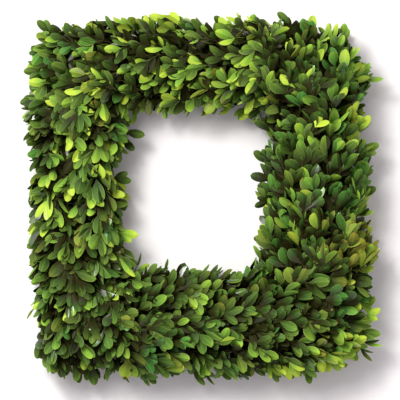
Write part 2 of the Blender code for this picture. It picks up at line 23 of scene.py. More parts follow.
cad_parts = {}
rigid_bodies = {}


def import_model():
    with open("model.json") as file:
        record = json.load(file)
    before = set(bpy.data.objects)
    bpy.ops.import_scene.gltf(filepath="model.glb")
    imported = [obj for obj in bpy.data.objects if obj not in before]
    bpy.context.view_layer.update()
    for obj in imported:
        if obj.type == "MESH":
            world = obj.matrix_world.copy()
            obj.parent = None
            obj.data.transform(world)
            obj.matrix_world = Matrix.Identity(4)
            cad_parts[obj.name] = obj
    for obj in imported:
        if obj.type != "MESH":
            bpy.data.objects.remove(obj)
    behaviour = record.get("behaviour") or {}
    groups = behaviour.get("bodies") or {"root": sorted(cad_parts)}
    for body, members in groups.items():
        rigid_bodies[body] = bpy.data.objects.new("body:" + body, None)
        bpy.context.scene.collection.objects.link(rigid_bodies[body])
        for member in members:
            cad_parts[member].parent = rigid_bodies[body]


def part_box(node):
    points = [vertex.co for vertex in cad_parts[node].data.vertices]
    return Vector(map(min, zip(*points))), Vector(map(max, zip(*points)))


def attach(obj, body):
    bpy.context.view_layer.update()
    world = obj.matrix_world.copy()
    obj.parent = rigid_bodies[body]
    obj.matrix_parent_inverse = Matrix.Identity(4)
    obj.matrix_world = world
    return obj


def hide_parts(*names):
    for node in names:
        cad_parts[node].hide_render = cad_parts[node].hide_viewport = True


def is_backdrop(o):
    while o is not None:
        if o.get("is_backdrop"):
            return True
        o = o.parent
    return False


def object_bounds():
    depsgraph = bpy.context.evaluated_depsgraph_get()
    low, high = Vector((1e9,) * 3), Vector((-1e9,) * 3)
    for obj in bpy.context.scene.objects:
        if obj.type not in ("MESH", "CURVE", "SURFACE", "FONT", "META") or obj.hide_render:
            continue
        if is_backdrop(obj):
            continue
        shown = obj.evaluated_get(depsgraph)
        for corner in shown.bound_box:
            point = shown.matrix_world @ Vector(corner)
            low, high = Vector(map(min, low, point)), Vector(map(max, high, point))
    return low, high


LOG = logging.getLogger("boxwood_wreath")
Socket = bpy.types.NodeSocket
# A line's points, each with its thickness as a share of the usual
Line = list[tuple[Vector, float]]
# Where a change begins and is complete
Rise = tuple[float, float]
UP = Vector((0.0, 0.0, 1.0))

# The photograph: its width in pixels, the wreath's middle in it and the size of a pixel
PHOTO_PIXELS = 400
WREATH_MIDDLE_PIXEL = (202.0, 199.5)
PIXEL_SIZE = 0.0011

# Frame wire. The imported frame's rings have few sides and reach the box radius from their middle.
RING_RADIUS = 0.0015
RING_BOX_RADIUS = 0.00175
BACK_RING_ACROSS = 0.0305
FRONT_RING_ACROSS = 0.015
FRONT_RING_HEIGHT = 0.0110
RING_CORNER_RADIUS = 0.012
TIE_RADIUS = 0.0013

# The line that the foliage follows lies this far above the surface
CORE_HEIGHT = 0.026

# The leaf tips' reach above and below that line, and the power that rounds off the run's section
CROWN_REACH = 0.050
BACK_REACH = 0.048
PROFILE_POWER = 2.2

# Leaves of one kind differ in size by this share either way
SIZE_SPREAD = 0.03

# Colour of the lamps' light
DAYLIGHT = (1.0, 0.99, 0.975)

# Leaves keep the last run's way up to the first share of a run's reach past its corner, and have
# turned into the run's own way at the second. At the inner corners the runs overlap a little.
CORNER_HOLD = (0.5, 1.45)
MITRE_OVERLAP = 0.014


def linear(code: str) -> tuple[float, float, float, float]:
    """Turns an sRGB hex colour into a linear one with full alpha.

    Args:
        code: Six hex digits, with or without a leading #.

    Returns:
        Red, green, blue and alpha.
    """
    digits = code.lstrip("#")
    channels = [int(digits[i : i + 2], 16) / 255 for i in (0, 2, 4)]
    straight = [c / 12.92 if c <= 0.04045 else ((c + 0.055) / 1.055) ** 2.4 for c in channels]
    return (*straight, 1.0)


def add_node(
    tree: bpy.types.NodeTree, kind: str, inputs: dict | None = None, **settings: object
) -> bpy.types.Node:
    """Adds a node to a tree with its settings, values and links.

    Args:
        tree: The shader or geometry tree.
        kind: The node's type name.
        inputs: Input name or number to a value, or to the output socket that feeds it.
        settings: Properties of the node.

    Returns:
        The new node.
    """
    node = tree.nodes.new(kind)
    for name, value in settings.items():
        setattr(node, name, value)
    for key, value in (inputs or {}).items():
        if isinstance(value, Socket):
            tree.links.new(value, node.inputs[key])
        else:
            node.inputs[key].default_value = value
    return node


def at_pixel(across: float, down: float, height: float) -> Vector:
    """Finds the point at a height that shows at a pixel of the photograph.

    Args:
        across: Column of the pixel.
        down: Row of the pixel.
        height: Height of the point.

    Returns:
        The point.
    """
    x = (across - WREATH_MIDDLE_PIXEL[0]) * PIXEL_SIZE
    y = (WREATH_MIDDLE_PIXEL[1] - down) * PIXEL_SIZE
    return Vector((x, y, height))


class Lane(Enum):
    """Bunches that share a range of angles round a run, with the number of them in a run."""

    INNER = ("inner", -112.0, -38.0, 3, "foliage_shade")
    CROWN = ("crown", -38.0, 38.0, 4, "foliage_lime")
    OUTER = ("outer", 38.0, 112.0, 5, "foliage_mid")

    def __init__(self, label: str, low: float, high: float, stations: int, slot: str) -> None:
        """Keeps the lane's values.

        Args:
            label: Its name.
            low: Least angle, in degrees.
            high: Greatest angle, in degrees.
            stations: Number of its bunches in a run.
            slot: The record's material slot for its bunches.
        """
        self.label = label
        self.low = math.radians(low)
        self.high = math.radians(high)
        self.stations = stations
        self.slot = slot


@dataclass(frozen=True)
class Growth:
    """What the foliage of one side is like.

    Attributes:
        leaf_size: Size of its leaves.
        leaf_mix: How common each kind of leaf is.
        light: Usual lightness of its shoots.
        lime: Share of its shoots that are lime.
        contrast: Spread of lightness among the leaves of a shoot.
        roll: Spread of the leaves' turn about their midribs, in degrees.
        cool: Most blue that a common leaf has.
        stray: Spread of the shoots' way along the side, in degrees.
    """

    leaf_size: float
    leaf_mix: tuple[int, ...]
    light: float
    lime: float
    contrast: float
    roll: float
    cool: float
    stray: float


class Side(Enum):
    """The wreath's sides, in the order that its leaves point round, with the tips' side reach."""

    BOTTOM = (
        "bottom",
        0.0605,
        Growth(1.11, (24, 12, 8, 18, 6, 18, 18), 0.44, 0.03, 0.16, 34.0, 0.44, 18.0),
    )
    RIGHT = (
        "right",
        0.063,
        Growth(1.20, (22, 12, 6, 14, 6, 16, 28), 0.42, 0.12, 0.34, 44.0, 0.84, 20.0),
    )
    TOP = (
        "top",
        0.0535,
        Growth(1.05, (22, 22, 14, 14, 12, 10, 6), 0.32, 0.74, 0.40, 54.0, 0.34, 26.0),
    )
    LEFT = (
        "left",
        0.0555,
        Growth(1.18, (28, 12, 12, 12, 6, 16, 16), 0.43, 0.08, 0.29, 42.0, 0.34, 18.0),
    )

    def __init__(self, label: str, reach: float, growth: Growth) -> None:
        """Keeps the side's values.

        Args:
            label: Its name.
            reach: How far the leaf tips reach sideways.
            growth: What its foliage is like.
        """
        self.label = label
        self.reach = reach
        self.growth = growth


@dataclass(frozen=True)
class Run:
    """One side of the wreath between two corners of the line that its foliage follows.

    Attributes:
        side: Which side it is.
        start: The corner where it begins, on the surface that the wreath lies on.
        flow: The way round that its leaves point.
        length: Distance between its corners.
    """

    side: Side
    start: Vector
    flow: Vector
    length: float

    @property
    def out(self) -> Vector:
        """The way to the wreath's outside."""
        return Vector((self.flow.y, -self.flow.x, 0.0))

    def core_point(self, along: float, across: float = 0.0, height: float = CORE_HEIGHT) -> Vector:
        """Returns a point given along, across and above the run."""
        return self.start + self.flow * along + self.out * across + UP * height

    def foot_of(self, point: Vector) -> float:
        """Returns how far along the run the part of its line that is nearest to a point lies."""
        return min(max((point - self.start).dot(self.flow), 0.0), self.length)

    def reach_at(self, angle: float) -> float:
        """Works out how far the leaf tips stand from the line.

        Args:
            angle: Angle round the run.

        Returns:
            The distance.
        """
        upright = CROWN_REACH if math.cos(angle) > 0 else BACK_REACH
        across = (abs(math.sin(angle)) / self.side.reach) ** PROFILE_POWER
        rise = (abs(math.cos(angle)) / upright) ** PROFILE_POWER
        return (across + rise) ** (-1 / PROFILE_POWER)

    def surface(self, along: float, angle: float, share: float = 1.0) -> tuple[Vector, Vector]:
        """Gives a place on the foliage's surface.

        Args:
            along: Distance along the run, past its ends on the outside of a corner.
            angle: Angle round the run.
            share: Share of the full reach.

        Returns:
            The point and the way out of the surface there.
        """
        reach = self.reach_at(angle)
        across = reach * math.sin(angle)
        foot, out = along, self.out
        if across > 0.0 and not 0.0 <= along <= self.length:
            foot = min(max(along, 0.0), self.length)
            turn = (along - foot) / across
            out = self.out * math.cos(turn) + self.flow * math.sin(turn)
        radial = out * math.sin(angle) + UP * math.cos(angle)
        return self.core_point(foot) + radial * reach * share, radial

    def lay(self, along: float) -> Vector:
        """Gives the way that leaves point: past a corner they keep the last run's way for a while.

        Args:
            along: Distance along the run.

        Returns:
            The way, level and of length 1.
        """
        settled = (along / self.side.reach - CORNER_HOLD[0]) / (CORNER_HOLD[1] - CORNER_HOLD[0])
        settled = min(max(settled, 0.0), 1.0)
        turn = (1.0 - settled * settled * (3.0 - 2.0 * settled)) * math.pi / 2
        return self.flow * math.cos(turn) + self.out * math.sin(turn)

    def span(self, angle: float) -> tuple[float, float]:
        """Works out where the leaf tips begin and end along the run.

        Args:
            angle: Angle round the run.

        Returns:
            Two distances along the run.
        """
        across = self.reach_at(angle) * math.sin(angle)
        if across > 0.0:
            arc = across * math.pi / 4
            return -arc, self.length + arc
        return -across - MITRE_OVERLAP, self.length + across + MITRE_OVERLAP

    def fullness(self, point: Vector) -> float:
        """Measures a point's distance from the line as a share of the reach there.

        Args:
            point: Any point.

        Returns:
            Share of the reach.
        """
        away = point - self.core_point(self.foot_of(point))
        sideways = Vector((away.x, away.y, 0.0))
        across = math.copysign(sideways.length, sideways.dot(self.out))
        return away.length / self.reach_at(math.atan2(across, away.z))


@dataclass(frozen=True)
class Leaf:
    """One kind of boxwood leaf: an obovate blade, folded at its midrib and bent along its length.

    Attributes:
        length: From its foot on the stem to its tip.
        half_width: At the broadest place.
        fold: Drop of each half per distance from the midrib, negative where the halves rise.
        dome: Further drop towards the margin, negative on a cupped leaf.
        bend: Drop of the tip as a share of the length, negative where it turns up.
        twist: Turn of the tip about the midrib, in degrees.
        creased: Whether the fold at the midrib is sharp.
        thickness: At the midrib.
        broadest: Share of the length at the broadest place.
        rows: Shares of the length with a row of points, up to the one before the tip.
        columns: Shares of the half width with a column of points.
    """

    length: float
    half_width: float
    fold: float
    dome: float
    bend: float
    twist: float
    creased: bool = False
    thickness: float = 0.0004
    broadest: float = 0.54
    rows: tuple[float, ...] = (0.0, 0.12, 0.28, 0.46, 0.63, 0.79, 0.92)
    columns: tuple[float, ...] = (-1.0, -0.5, 0.0, 0.5, 1.0)

    # Its outline: the wedge from the foot to the broadest place, and the round tip beyond
    foot_width = 0.07
    wedge_power = 1.12
    tip_powers = (2.1, 0.56)
    margin_rows = (0.33, 0.63, 0.90)

    def width_at(self, share: float) -> float:
        """Gives the outline.

        Args:
            share: Share of the length.

        Returns:
            The half width.
        """
        if share < self.broadest:
            wedge = math.sin(math.pi / 2 * share / self.broadest) ** self.wedge_power
            return self.half_width * max(self.foot_width, wedge)
        beyond = (share - self.broadest) / (1 - self.broadest)
        inner, outer = self.tip_powers
        return self.half_width * (1 - beyond**inner) ** outer

    def point(self, share: float, across: float) -> Vector:
        """Gives a point of the blade's middle surface.

        Args:
            share: Share of the length.
            across: Share of the half width.

        Returns:
            The point.
        """
        x = across * self.width_at(share)
        z = -self.fold * abs(x) - self.dome * across * x
        z -= self.bend * self.length * share**2
        turn = math.radians(self.twist) * share
        return Vector((x * math.cos(turn), self.length * share, z + x * math.sin(turn)))

    @cached_property
    def margin(self) -> list[Vector]:
        """Points of the blade's margin that show whether a leaf fits a space, the tip first."""
        pairs = [self.point(share, side) for share in self.margin_rows for side in (-1.0, 1.0)]
        return [self.point(1.0, 0.0), *pairs]

    def face_points(
        self, bm: bmesh.types.BMesh, lift: float, other: list[list[bmesh.types.BMVert]] | None
    ) -> list[list[bmesh.types.BMVert]]:
        """Adds the points of the upper or the lower face, which share those of the margin.

        Args:
            bm: The mesh in the making, with the layer "blade".
            lift: How far the face lies over the blade's middle surface at the midrib.
            other: The points of the face that is made already.

        Returns:
            Rows of points, from the foot up to the row before the tip.
        """
        blade = bm.verts.layers.float_vector["blade"]
        rows = []
        for i, share in enumerate(self.rows):
            row = []
            for j, across in enumerate(self.columns):
                if other and (i == 0 or abs(across) == 1.0):
                    row.append(other[i][j])
                    continue
                inner = 1.0 - abs(across) if i else 0.0
                row.append(bm.verts.new(self.point(share, across) + UP * lift * inner))
                row[-1][blade] = (share, across, 0.0)
            rows.append(row)
        return rows

    def build(self, name: str) -> bpy.types.Object:
        """Makes the leaf as a closed thin lens, its upper face towards +Z.

        Args:
            name: The object's name.

        Returns:
            The leaf, with its place on the blade in "blade" and 1 on its lower face in "underside".
        """
        mesh = bpy.data.meshes.new(name)
        bm = bmesh.new()
        blade = bm.verts.layers.float_vector.new("blade")
        underside = bm.faces.layers.float.new("underside")
        upper = self.face_points(bm, self.thickness / 2, None)
        lower = self.face_points(bm, -self.thickness / 2, upper)
        tip = bm.verts.new(self.point(1.0, 0.0))
        tip[blade] = (1.0, 0.0, 0.0)
        for side, rows in enumerate((upper, lower)):
            for near, far in zip(rows, rows[1:] + [None]):
                for j in range(len(near) - 1):
                    corners = [near[j], near[j + 1]] + ([far[j + 1], far[j]] if far else [tip])
                    face = bm.faces.new(corners if side == 0 else corners[::-1])
                    face[underside] = float(side)
                    face.smooth = True
        for edge in bm.edges:
            on_rib = all(vert[blade].y == 0.0 for vert in edge.verts)
            on_margin = len({face[underside] for face in edge.link_faces}) > 1
            edge.smooth = not (on_margin or self.creased and on_rib)
        bm.to_mesh(mesh)
        bm.free()
        return bpy.data.objects.new(name, mesh)


class LeafKind(Enum):
    """The kinds of leaf on the shoots, in the order in which the seats number them."""

    BROAD = Leaf(0.0236, 0.0055, 0.32, 0.14, 0.06, 6.0, creased=True)
    CUPPED = Leaf(0.0224, 0.0054, 0.04, -0.46, -0.08, -8.0)
    LONG = Leaf(0.0256, 0.0047, 0.36, 0.06, 0.04, 12.0, creased=True)
    BOWED = Leaf(0.0238, 0.0051, 0.10, 0.32, 0.18, -14.0)
    YOUNG = Leaf(0.0200, 0.0043, -0.42, -0.10, -0.04, 5.0, creased=True)
    FLAT = Leaf(0.0226, 0.0055, 0.18, 0.12, 0.02, -4.0, creased=True)
    ROUND = Leaf(0.0204, 0.0065, 0.08, 0.20, 0.08, 7.0)

    @property
    def index(self) -> int:
        """The kind's number."""
        return list(LeafKind).index(self)


@dataclass(frozen=True)
class Tint:
    """A leaf's colour: lightness from shaded to lime, shares of blue and of dryness, and gloss.

    The flush is what the youngest pair of leaves of a shoot is lighter by.
    """

    light: float
    blue: float
    dry: float
    gloss: float
    flush: float = 0.0

    # Shoots: their spread of lightness, what a place of painted light or painted shade gives to all
    # of their leaves and to the share of lime ones, the youngest pair's flush, the share of blue
    # ones, and their blue and dryness
    shoot_spread = 0.12
    lift_kept = 0.5
    lift_limed = 1.5
    lime_flush = 0.52
    blue_share = 0.05
    blue_range = (0.7, 1.0)
    dry_range = (0.0, 0.7)
    usual_gloss = 0.2

    # Leaves: what an older pair takes off their lightness, partly for its older green and partly as
    # painted shade since it lies lower, the painted shade of a deeper place, the least that is left,
    # which painted shade lowers deeper down, how their dryness grows, and the share that gleam
    pair_shade = 0.07
    flush_fade = 0.55
    depth_shade = 1.7
    least_light = 0.11
    least_depth_shade = 2.0
    pair_dryness = 0.1
    dry_spread = 0.15
    gleam_share = 0.12
    gleam_range = (0.7, 1.1)
    satin_range = (0.0, 0.4)

    @staticmethod
    def draw(rng: random.Random, side: Side, lift: float, dry: float) -> Tint:
        """Draws the tint of a shoot.

        Args:
            rng: The random draws.
            side: The side that it grows on.
            lift: How much lighter its place is than the rest of the side, as painted light and shade.
            dry: How much dryer its place is.

        Returns:
            The shoot's tint.
        """
        growth = side.growth
        light = rng.gauss(growth.light, Tint.shoot_spread) + min(lift, Tint.lift_kept * lift)
        limed = rng.random() < growth.lime + Tint.lift_limed * lift
        blues = Tint.blue_range if rng.random() < Tint.blue_share else (0.0, growth.cool)
        blue = rng.uniform(*blues)
        dry += rng.uniform(*Tint.dry_range)
        return Tint(light, blue, dry, Tint.usual_gloss, Tint.lime_flush if limed else 0.0)

    def vary(self, rng: random.Random, contrast: float, pair: int = 0, depth: float = 0.0) -> Tint:
        """Draws the tint of one leaf: older and deeper ones are darker, and a few leaves gleam.

        Older pairs are darker partly by age and partly by painted shade, deeper leaves by painted
        shade.

        Args:
            rng: The random draws.
            contrast: Spread of lightness among the leaves of a shoot.
            pair: Number of its pair, counted from the shoot's apex.
            depth: How far it lies below the foliage's surface, as a share of the reach.

        Returns:
            The leaf's tint.
        """
        light = self.light + rng.gauss(0.0, contrast)
        # An older pair is darker partly by age and partly by painted shade; a deeper leaf by painted
        # shade
        light += -self.pair_shade * pair - self.depth_shade * depth
        light += self.flush * max(0.0, 1.0 - self.flush_fade * pair)
        light = max(light, self.least_light - self.least_depth_shade * depth)
        dry = self.dry + rng.gauss(0.0, self.dry_spread) + self.pair_dryness * pair
        glosses = self.gleam_range if rng.random() < self.gleam_share else self.satin_range
        return Tint(light, self.blue, dry, rng.uniform(*glosses))


@dataclass(frozen=True)
class Seat:
    """Where one leaf stands: its foot, its turn, its size, kind and tint."""

    foot: Vector
    turn: Vector
    size: float
    kind: LeafKind
    tint: Tint


@dataclass(frozen=True)
class Pose:
    """How a leaf stands on its foot: the way it points, the way its face turns, and its roll."""

    foot: Vector
    along: Vector
    facing: Vector
    roll: float

    def axes(self) -> tuple[Vector, Vector, Vector]:
        """Works out the leaf's own axes.

        Returns:
            The ways across, along and out of the upper face.
        """
        along = self.along.normalized()
        normal = (self.facing - along * self.facing.dot(along)).normalized()
        across = along.cross(normal)
        cos, sin = math.cos(self.roll), math.sin(self.roll)
        return across * cos + normal * sin, along, normal * cos - across * sin

    def seat(self, kind: LeafKind, size: float, tint: Tint) -> Seat:
        """Makes the seat of a leaf that stands this way."""
        turn = Matrix(self.axes()).transposed().to_euler()
        return Seat(self.foot, Vector(turn), size, kind, tint)

    def places(self, kind: LeafKind, size: float) -> list[Vector]:
        """Returns where the leaf's tip and the rest of its margin are."""
        axes = Matrix(self.axes()).transposed() * size * (1 + SIZE_SPREAD)
        return [self.foot + axes @ point for point in kind.value.margin]


@dataclass(frozen=True)
class Spot:
    """A round place of the wreath that fades outwards.

    Attributes:
        across: Column of the photograph's pixel in its middle.
        down: Row of that pixel.
        radius: Distance from the middle where about a third of its change is left.
    """

    across: float
    down: float
    radius: float

    @cached_property
    def middle(self) -> Vector:
        """Its middle, on the surface that the wreath lies on."""
        return at_pixel(self.across, self.down, 0.0)

    def share_at(self, point: Vector) -> float:
        """Returns how much of the spot's change shows at a point."""
        away = math.hypot(point.x - self.middle.x, point.y - self.middle.y) / self.radius
        return math.exp(-(away**2))


@dataclass(frozen=True)
class Swell(Spot):
    """A spot where the foliage reaches further by a share of its reach, or less far."""

    change: float


@dataclass(frozen=True)
class SunPatch(Spot):
    """A spot whose leaves are lighter, as painted light, or darker, as painted shade, than the rest,
    or dryer.
    """

    lift: float
    dry: float = 0.0


@dataclass(frozen=True)
class Envelope:
    """The space that the foliage keeps to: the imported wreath's box and the reach of each run.

    Attributes:
        low: The box's lowest corner.
        high: Its highest corner.
        runs: The wreath's four runs.
        swells: Where the foliage reaches further than elsewhere, or less far.
        slack: Share of the reach that a leaf's tip may have.
        margin: Distance that leaves keep from the box's sides.
    """

    low: Vector
    high: Vector
    runs: tuple[Run, ...]
    swells: tuple[Swell, ...]
    slack: float = 1.07
    margin: float = 0.0004

    def boxed(self, point: Vector) -> bool:
        """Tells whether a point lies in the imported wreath's box and off its sides."""
        spare = self.margin
        return all(self.low[i] + spare <= point[i] <= self.high[i] - spare for i in range(3))

    def inside(self, point: Vector) -> Vector:
        """Returns the nearest point of the box that leaves room for a stem."""
        spare = self.margin + Foliage.stem_radius
        return Vector(
            min(max(point[i], self.low[i] + spare), self.high[i] - spare) for i in range(3)
        )

    def fullness(self, point: Vector) -> float:
        """Returns a point's distance from the nearest run's line as a share of the reach there."""
        return min(run.fullness(point) for run in self.runs) / self.swell_at(point)

    def swell_at(self, point: Vector) -> float:
        """Returns the reach at a point as a share of what is usual on its side."""
        return 1.0 + sum(swell.change * swell.share_at(point) for swell in self.swells)

    def holds(self, places: list[Vector]) -> bool:
        """Tells whether a leaf may be where these places of it are, its tip first."""
        return self.fullness(places[0]) <= self.slack and all(self.boxed(place) for place in places)

    def near_core(self, point: Vector, limit: float) -> Vector:
        """Draws a point sideways towards the nearest run's line.

        Args:
            point: The point.
            limit: Most distance that it keeps.

        Returns:
            The point, as high as it was.
        """
        feet = [run.core_point(run.foot_of(point), height=point.z) for run in self.runs]
        foot = min(feet, key=lambda place: (place - point).length)
        away = point - foot
        return foot + away * min(1.0, limit / max(away.length, limit))


@dataclass(frozen=True)
class Shoot:
    """A shoot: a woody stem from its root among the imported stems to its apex, with pairs of leaves.

    Attributes:
        root: The stem's lower end.
        control: The point that bends the stem.
        apex: The stem's upper end.
        face: The way that its leaves turn their upper sides.
        pairs: Number of leaf pairs.
        vigour: Size of its leaves.
        growth: What its side's leaves are like.
        tint: Colour of its leaves.
    """

    root: Vector
    control: Vector
    apex: Vector
    face: Vector
    pairs: int
    vigour: float
    growth: Growth
    tint: Tint

    # The stem: its points, and its thickness at both ends as a share of the usual
    stem_steps = 6
    root_gauge = 1.0
    apex_gauge = 0.42

    # Its leaf pairs: their distance, turn and spread about the stem, and lean off it in degrees.
    # Each older pair leans and measures more, and is likelier to have lost a leaf.
    pair_spacing = 0.0080
    first_turns = (0.0, 0.0, math.pi / 2)
    first_turn_spread = 0.35
    turn_spread = 0.22
    first_lean = 24.0
    pair_lean = 12.0
    lean_range = (0.55, 1.4)
    flatness = 0.9
    first_size = 0.86
    pair_size = 0.08
    size_range = (0.86, 1.1)
    missing = 0.14
    turned_over = 0.06

    # Leaves face between the shoot's way, at 0, and the way square off its stem, at 1
    face_outward = 0.5

    # A leaf gets painted shade if its middle, at the first share of its length, lies below the second
    # share of the reach, by how far below, and no deeper than this
    depth_place = 0.6
    shade_share = 0.94
    deepest = 0.4

    # A leaf that the envelope doesn't hold bends in and turns flat by steps, and up if it is low
    bend_steps = 5
    bend_step = 0.25
    bend_up = 0.12
    low_height = 0.02
    flattening = 0.6

    def at(self, share: float) -> Vector:
        """Returns the point of the stem at a share of the way to its apex."""
        first = self.root.lerp(self.control, share)
        return first.lerp(self.control.lerp(self.apex, share), share)

    def heading(self, share: float) -> Vector:
        """Returns the stem's direction at a share of the way to its apex."""
        first = self.control - self.root
        return first.lerp(self.apex - self.control, share).normalized()

    def stem(self) -> Line:
        """Works out the stem's points with its thickness there.

        Returns:
            The line from root to apex.
        """
        steps = [i / self.stem_steps for i in range(self.stem_steps + 1)]
        thinning = self.apex_gauge - self.root_gauge
        return [(self.at(s), self.root_gauge + thinning * s) for s in steps]

    def seats(self, rng: random.Random, envelope: Envelope) -> list[Seat]:
        """Places the shoot's leaves in pairs, each a quarter turn from the last.

        Args:
            rng: The random draws.
            envelope: The space that leaves keep to.

        Returns:
            The leaves' seats.
        """
        stem_length = (self.control - self.root).length + (self.apex - self.control).length
        start_turn = rng.choice(self.first_turns) + rng.gauss(0.0, self.first_turn_spread)
        seats = []
        for pair in range(self.pairs):
            share = 1.0 - pair * self.pair_spacing / stem_length
            foot, heading = self.at(share), self.heading(share)
            sideways = heading.cross(self.face).normalized()
            outward = sideways.cross(heading).normalized()
            spread = math.radians(self.first_lean + self.pair_lean * pair)
            size = self.vigour * min(1.0, self.first_size + self.pair_size * pair)
            for half in (0.0, math.pi):
                turn = start_turn + pair * math.pi / 2 + half + rng.gauss(0.0, self.turn_spread)
                lean = spread * rng.uniform(*self.lean_range)
                kind = rng.choices(list(LeafKind), weights=self.growth.leaf_mix)[0]
                side = sideways * math.cos(turn) + outward * math.sin(turn) * self.flatness
                along = heading * math.cos(lean) + side.normalized() * math.sin(lean)
                roll = rng.gauss(0.0, math.radians(self.growth.roll))
                if rng.random() < self.turned_over:
                    roll += math.pi
                leaf_size = size * rng.uniform(*self.size_range)
                pose = Pose(foot, along, self.face.lerp(outward, self.face_outward), roll)
                tip = pose.places(kind, leaf_size)[0]
                # How deep the leaf's middle lies sets its painted shade
                depth = self.shade_share - envelope.fullness(foot.lerp(tip, self.depth_place))
                depth = min(max(depth, 0.0), self.deepest)
                tint = self.tint.vary(rng, self.growth.contrast, pair, depth)
                kept = rng.random() > self.missing * pair
                pose = self.bend_in(pose, outward, kind, leaf_size, envelope)
                if kept and pose:
                    seats.append(pose.seat(kind, leaf_size, tint))
        return seats

    def bend_in(
        self, pose: Pose, outward: Vector, kind: LeafKind, size: float, envelope: Envelope
    ) -> Pose | None:
        """Bends a leaf inwards until the envelope holds it.

        Args:
            pose: How the leaf would stand.
            outward: The way to bend it from.
            kind: The leaf's kind.
            size: The leaf's size.
            envelope: The space that leaves keep to.

        Returns:
            The pose that the envelope holds, or None.
        """
        upward = self.bend_up if pose.foot.z < self.low_height else 0.0
        for _ in range(self.bend_steps):
            if envelope.holds(pose.places(kind, size)):
                return pose
            along = (pose.along - outward * self.bend_step + UP * upward).normalized()
            pose = Pose(pose.foot, along, pose.facing, pose.roll * self.flattening)
        return None


@dataclass(frozen=True)
class Stray:
    """A sprig that stands out of the outline, placed by pixels of the photograph.

    Attributes:
        side: The run that it grows from.
        tip: Pixel of its longest leaf's tip.
        foot: Pixel of that leaf's foot, which is the stem's apex.
        height: Height of the tip.
        light: Lightness of its leaves.
        roll: Turn of its leaves about their midribs, in degrees.
        fan: Angles of its other leaves from the longest, in degrees.
        blue: Share of blue in its leaves.
    """

    side: Side
    tip: tuple[float, float]
    foot: tuple[float, float]
    height: float
    light: float
    roll: float = 12.0
    fan: tuple[float, ...] = (30.0,)
    blue: float = 0.1

    # The stem: the tip's height over the apex, the root's distance behind it and the bend between
    rise = 0.004
    stem_back = 0.045
    stem_bend = 0.4
    root_limit = 0.016

    # Leaves turned by more than these degrees are of the narrow kind. Only the first is full size.
    edge_on = 25.0
    other_size = 0.82
    other_roll_spread = 8.0
    contrast = 0.1
    dry_range = (0.0, 0.6)

    # A leaf that the box doesn't hold shrinks step by step, and is left out in the end
    shrink_steps = 6
    shrinking = 0.96

    def leaves(self, rng: random.Random, envelope: Envelope) -> list[Seat]:
        """Places its leaves, smaller where the box is near.

        Args:
            rng: The random draws.
            envelope: The space that leaves keep to.

        Returns:
            The seats, the longest leaf's first.
        """
        foot = at_pixel(*self.foot, self.height - self.rise)
        longest = at_pixel(*self.tip, self.height) - foot
        tint = Tint(self.light, self.blue, rng.uniform(*self.dry_range), Tint.usual_gloss)
        kind = LeafKind.LONG if abs(self.roll) > self.edge_on else LeafKind.BROAD
        seats = []
        for index, angle in enumerate((0.0, *self.fan)):
            size = longest.length / kind.value.length * (self.other_size if index else 1.0)
            along = Matrix.Rotation(math.radians(angle), 3, "Z") @ longest
            roll = self.roll + rng.gauss(0.0, self.other_roll_spread) * min(index, 1)
            pose = Pose(foot, along, UP, math.radians(roll))
            for _ in range(self.shrink_steps):
                if all(envelope.boxed(place) for place in pose.places(kind, size)):
                    seats.append(pose.seat(kind, size, tint.vary(rng, self.contrast)))
                    break
                size *= self.shrinking
        return seats

    def stem(self, envelope: Envelope) -> Line:
        """Works out the stem that carries it.

        Args:
            envelope: The space that leaves keep to.

        Returns:
            The line from root to apex.
        """
        apex = at_pixel(*self.foot, self.height - self.rise)
        heading = at_pixel(*self.tip, self.height) - apex
        heading.normalize()
        root = envelope.near_core(apex - heading * self.stem_back, self.root_limit)
        root.z = min(apex.z, CORE_HEIGHT)
        control = apex - heading * (apex - root).length * self.stem_bend
        bare = Tint(0.0, 0.0, 0.0, 0.0)
        return Shoot(root, control, apex, UP, 0, 1.0, self.side.growth, bare).stem()


@dataclass(frozen=True)
class Bunch:
    """A bunch of shoots by its place in the wreath.

    Attributes:
        run: The run that it lies on.
        lane: Its lane.
        station: Its number in the lane, from 0.
    """

    run: Run
    lane: Lane
    station: int

    @property
    def label(self) -> str:
        """Its name."""
        return f"{self.run.side.label}_{self.lane.label}_{self.station + 1}"

    def carries(self, stray: Stray) -> bool:
        """Tells whether a stray sprig grows from this bunch.

        Args:
            stray: The sprig.

        Returns:
            Whether it does.
        """
        run, lane = self.run, self.lane
        tip = at_pixel(*stray.tip, stray.height)
        across = (tip - run.start).dot(run.out)
        if stray.side is not run.side or lane is not (Lane.OUTER if across > 0 else Lane.INNER):
            return False
        low, high = run.span(math.copysign(math.pi / 2, across))
        share = ((tip - run.start).dot(run.flow) - low) / (high - low)
        return self.station == min(max(int(share * lane.stations), 0), lane.stations - 1)


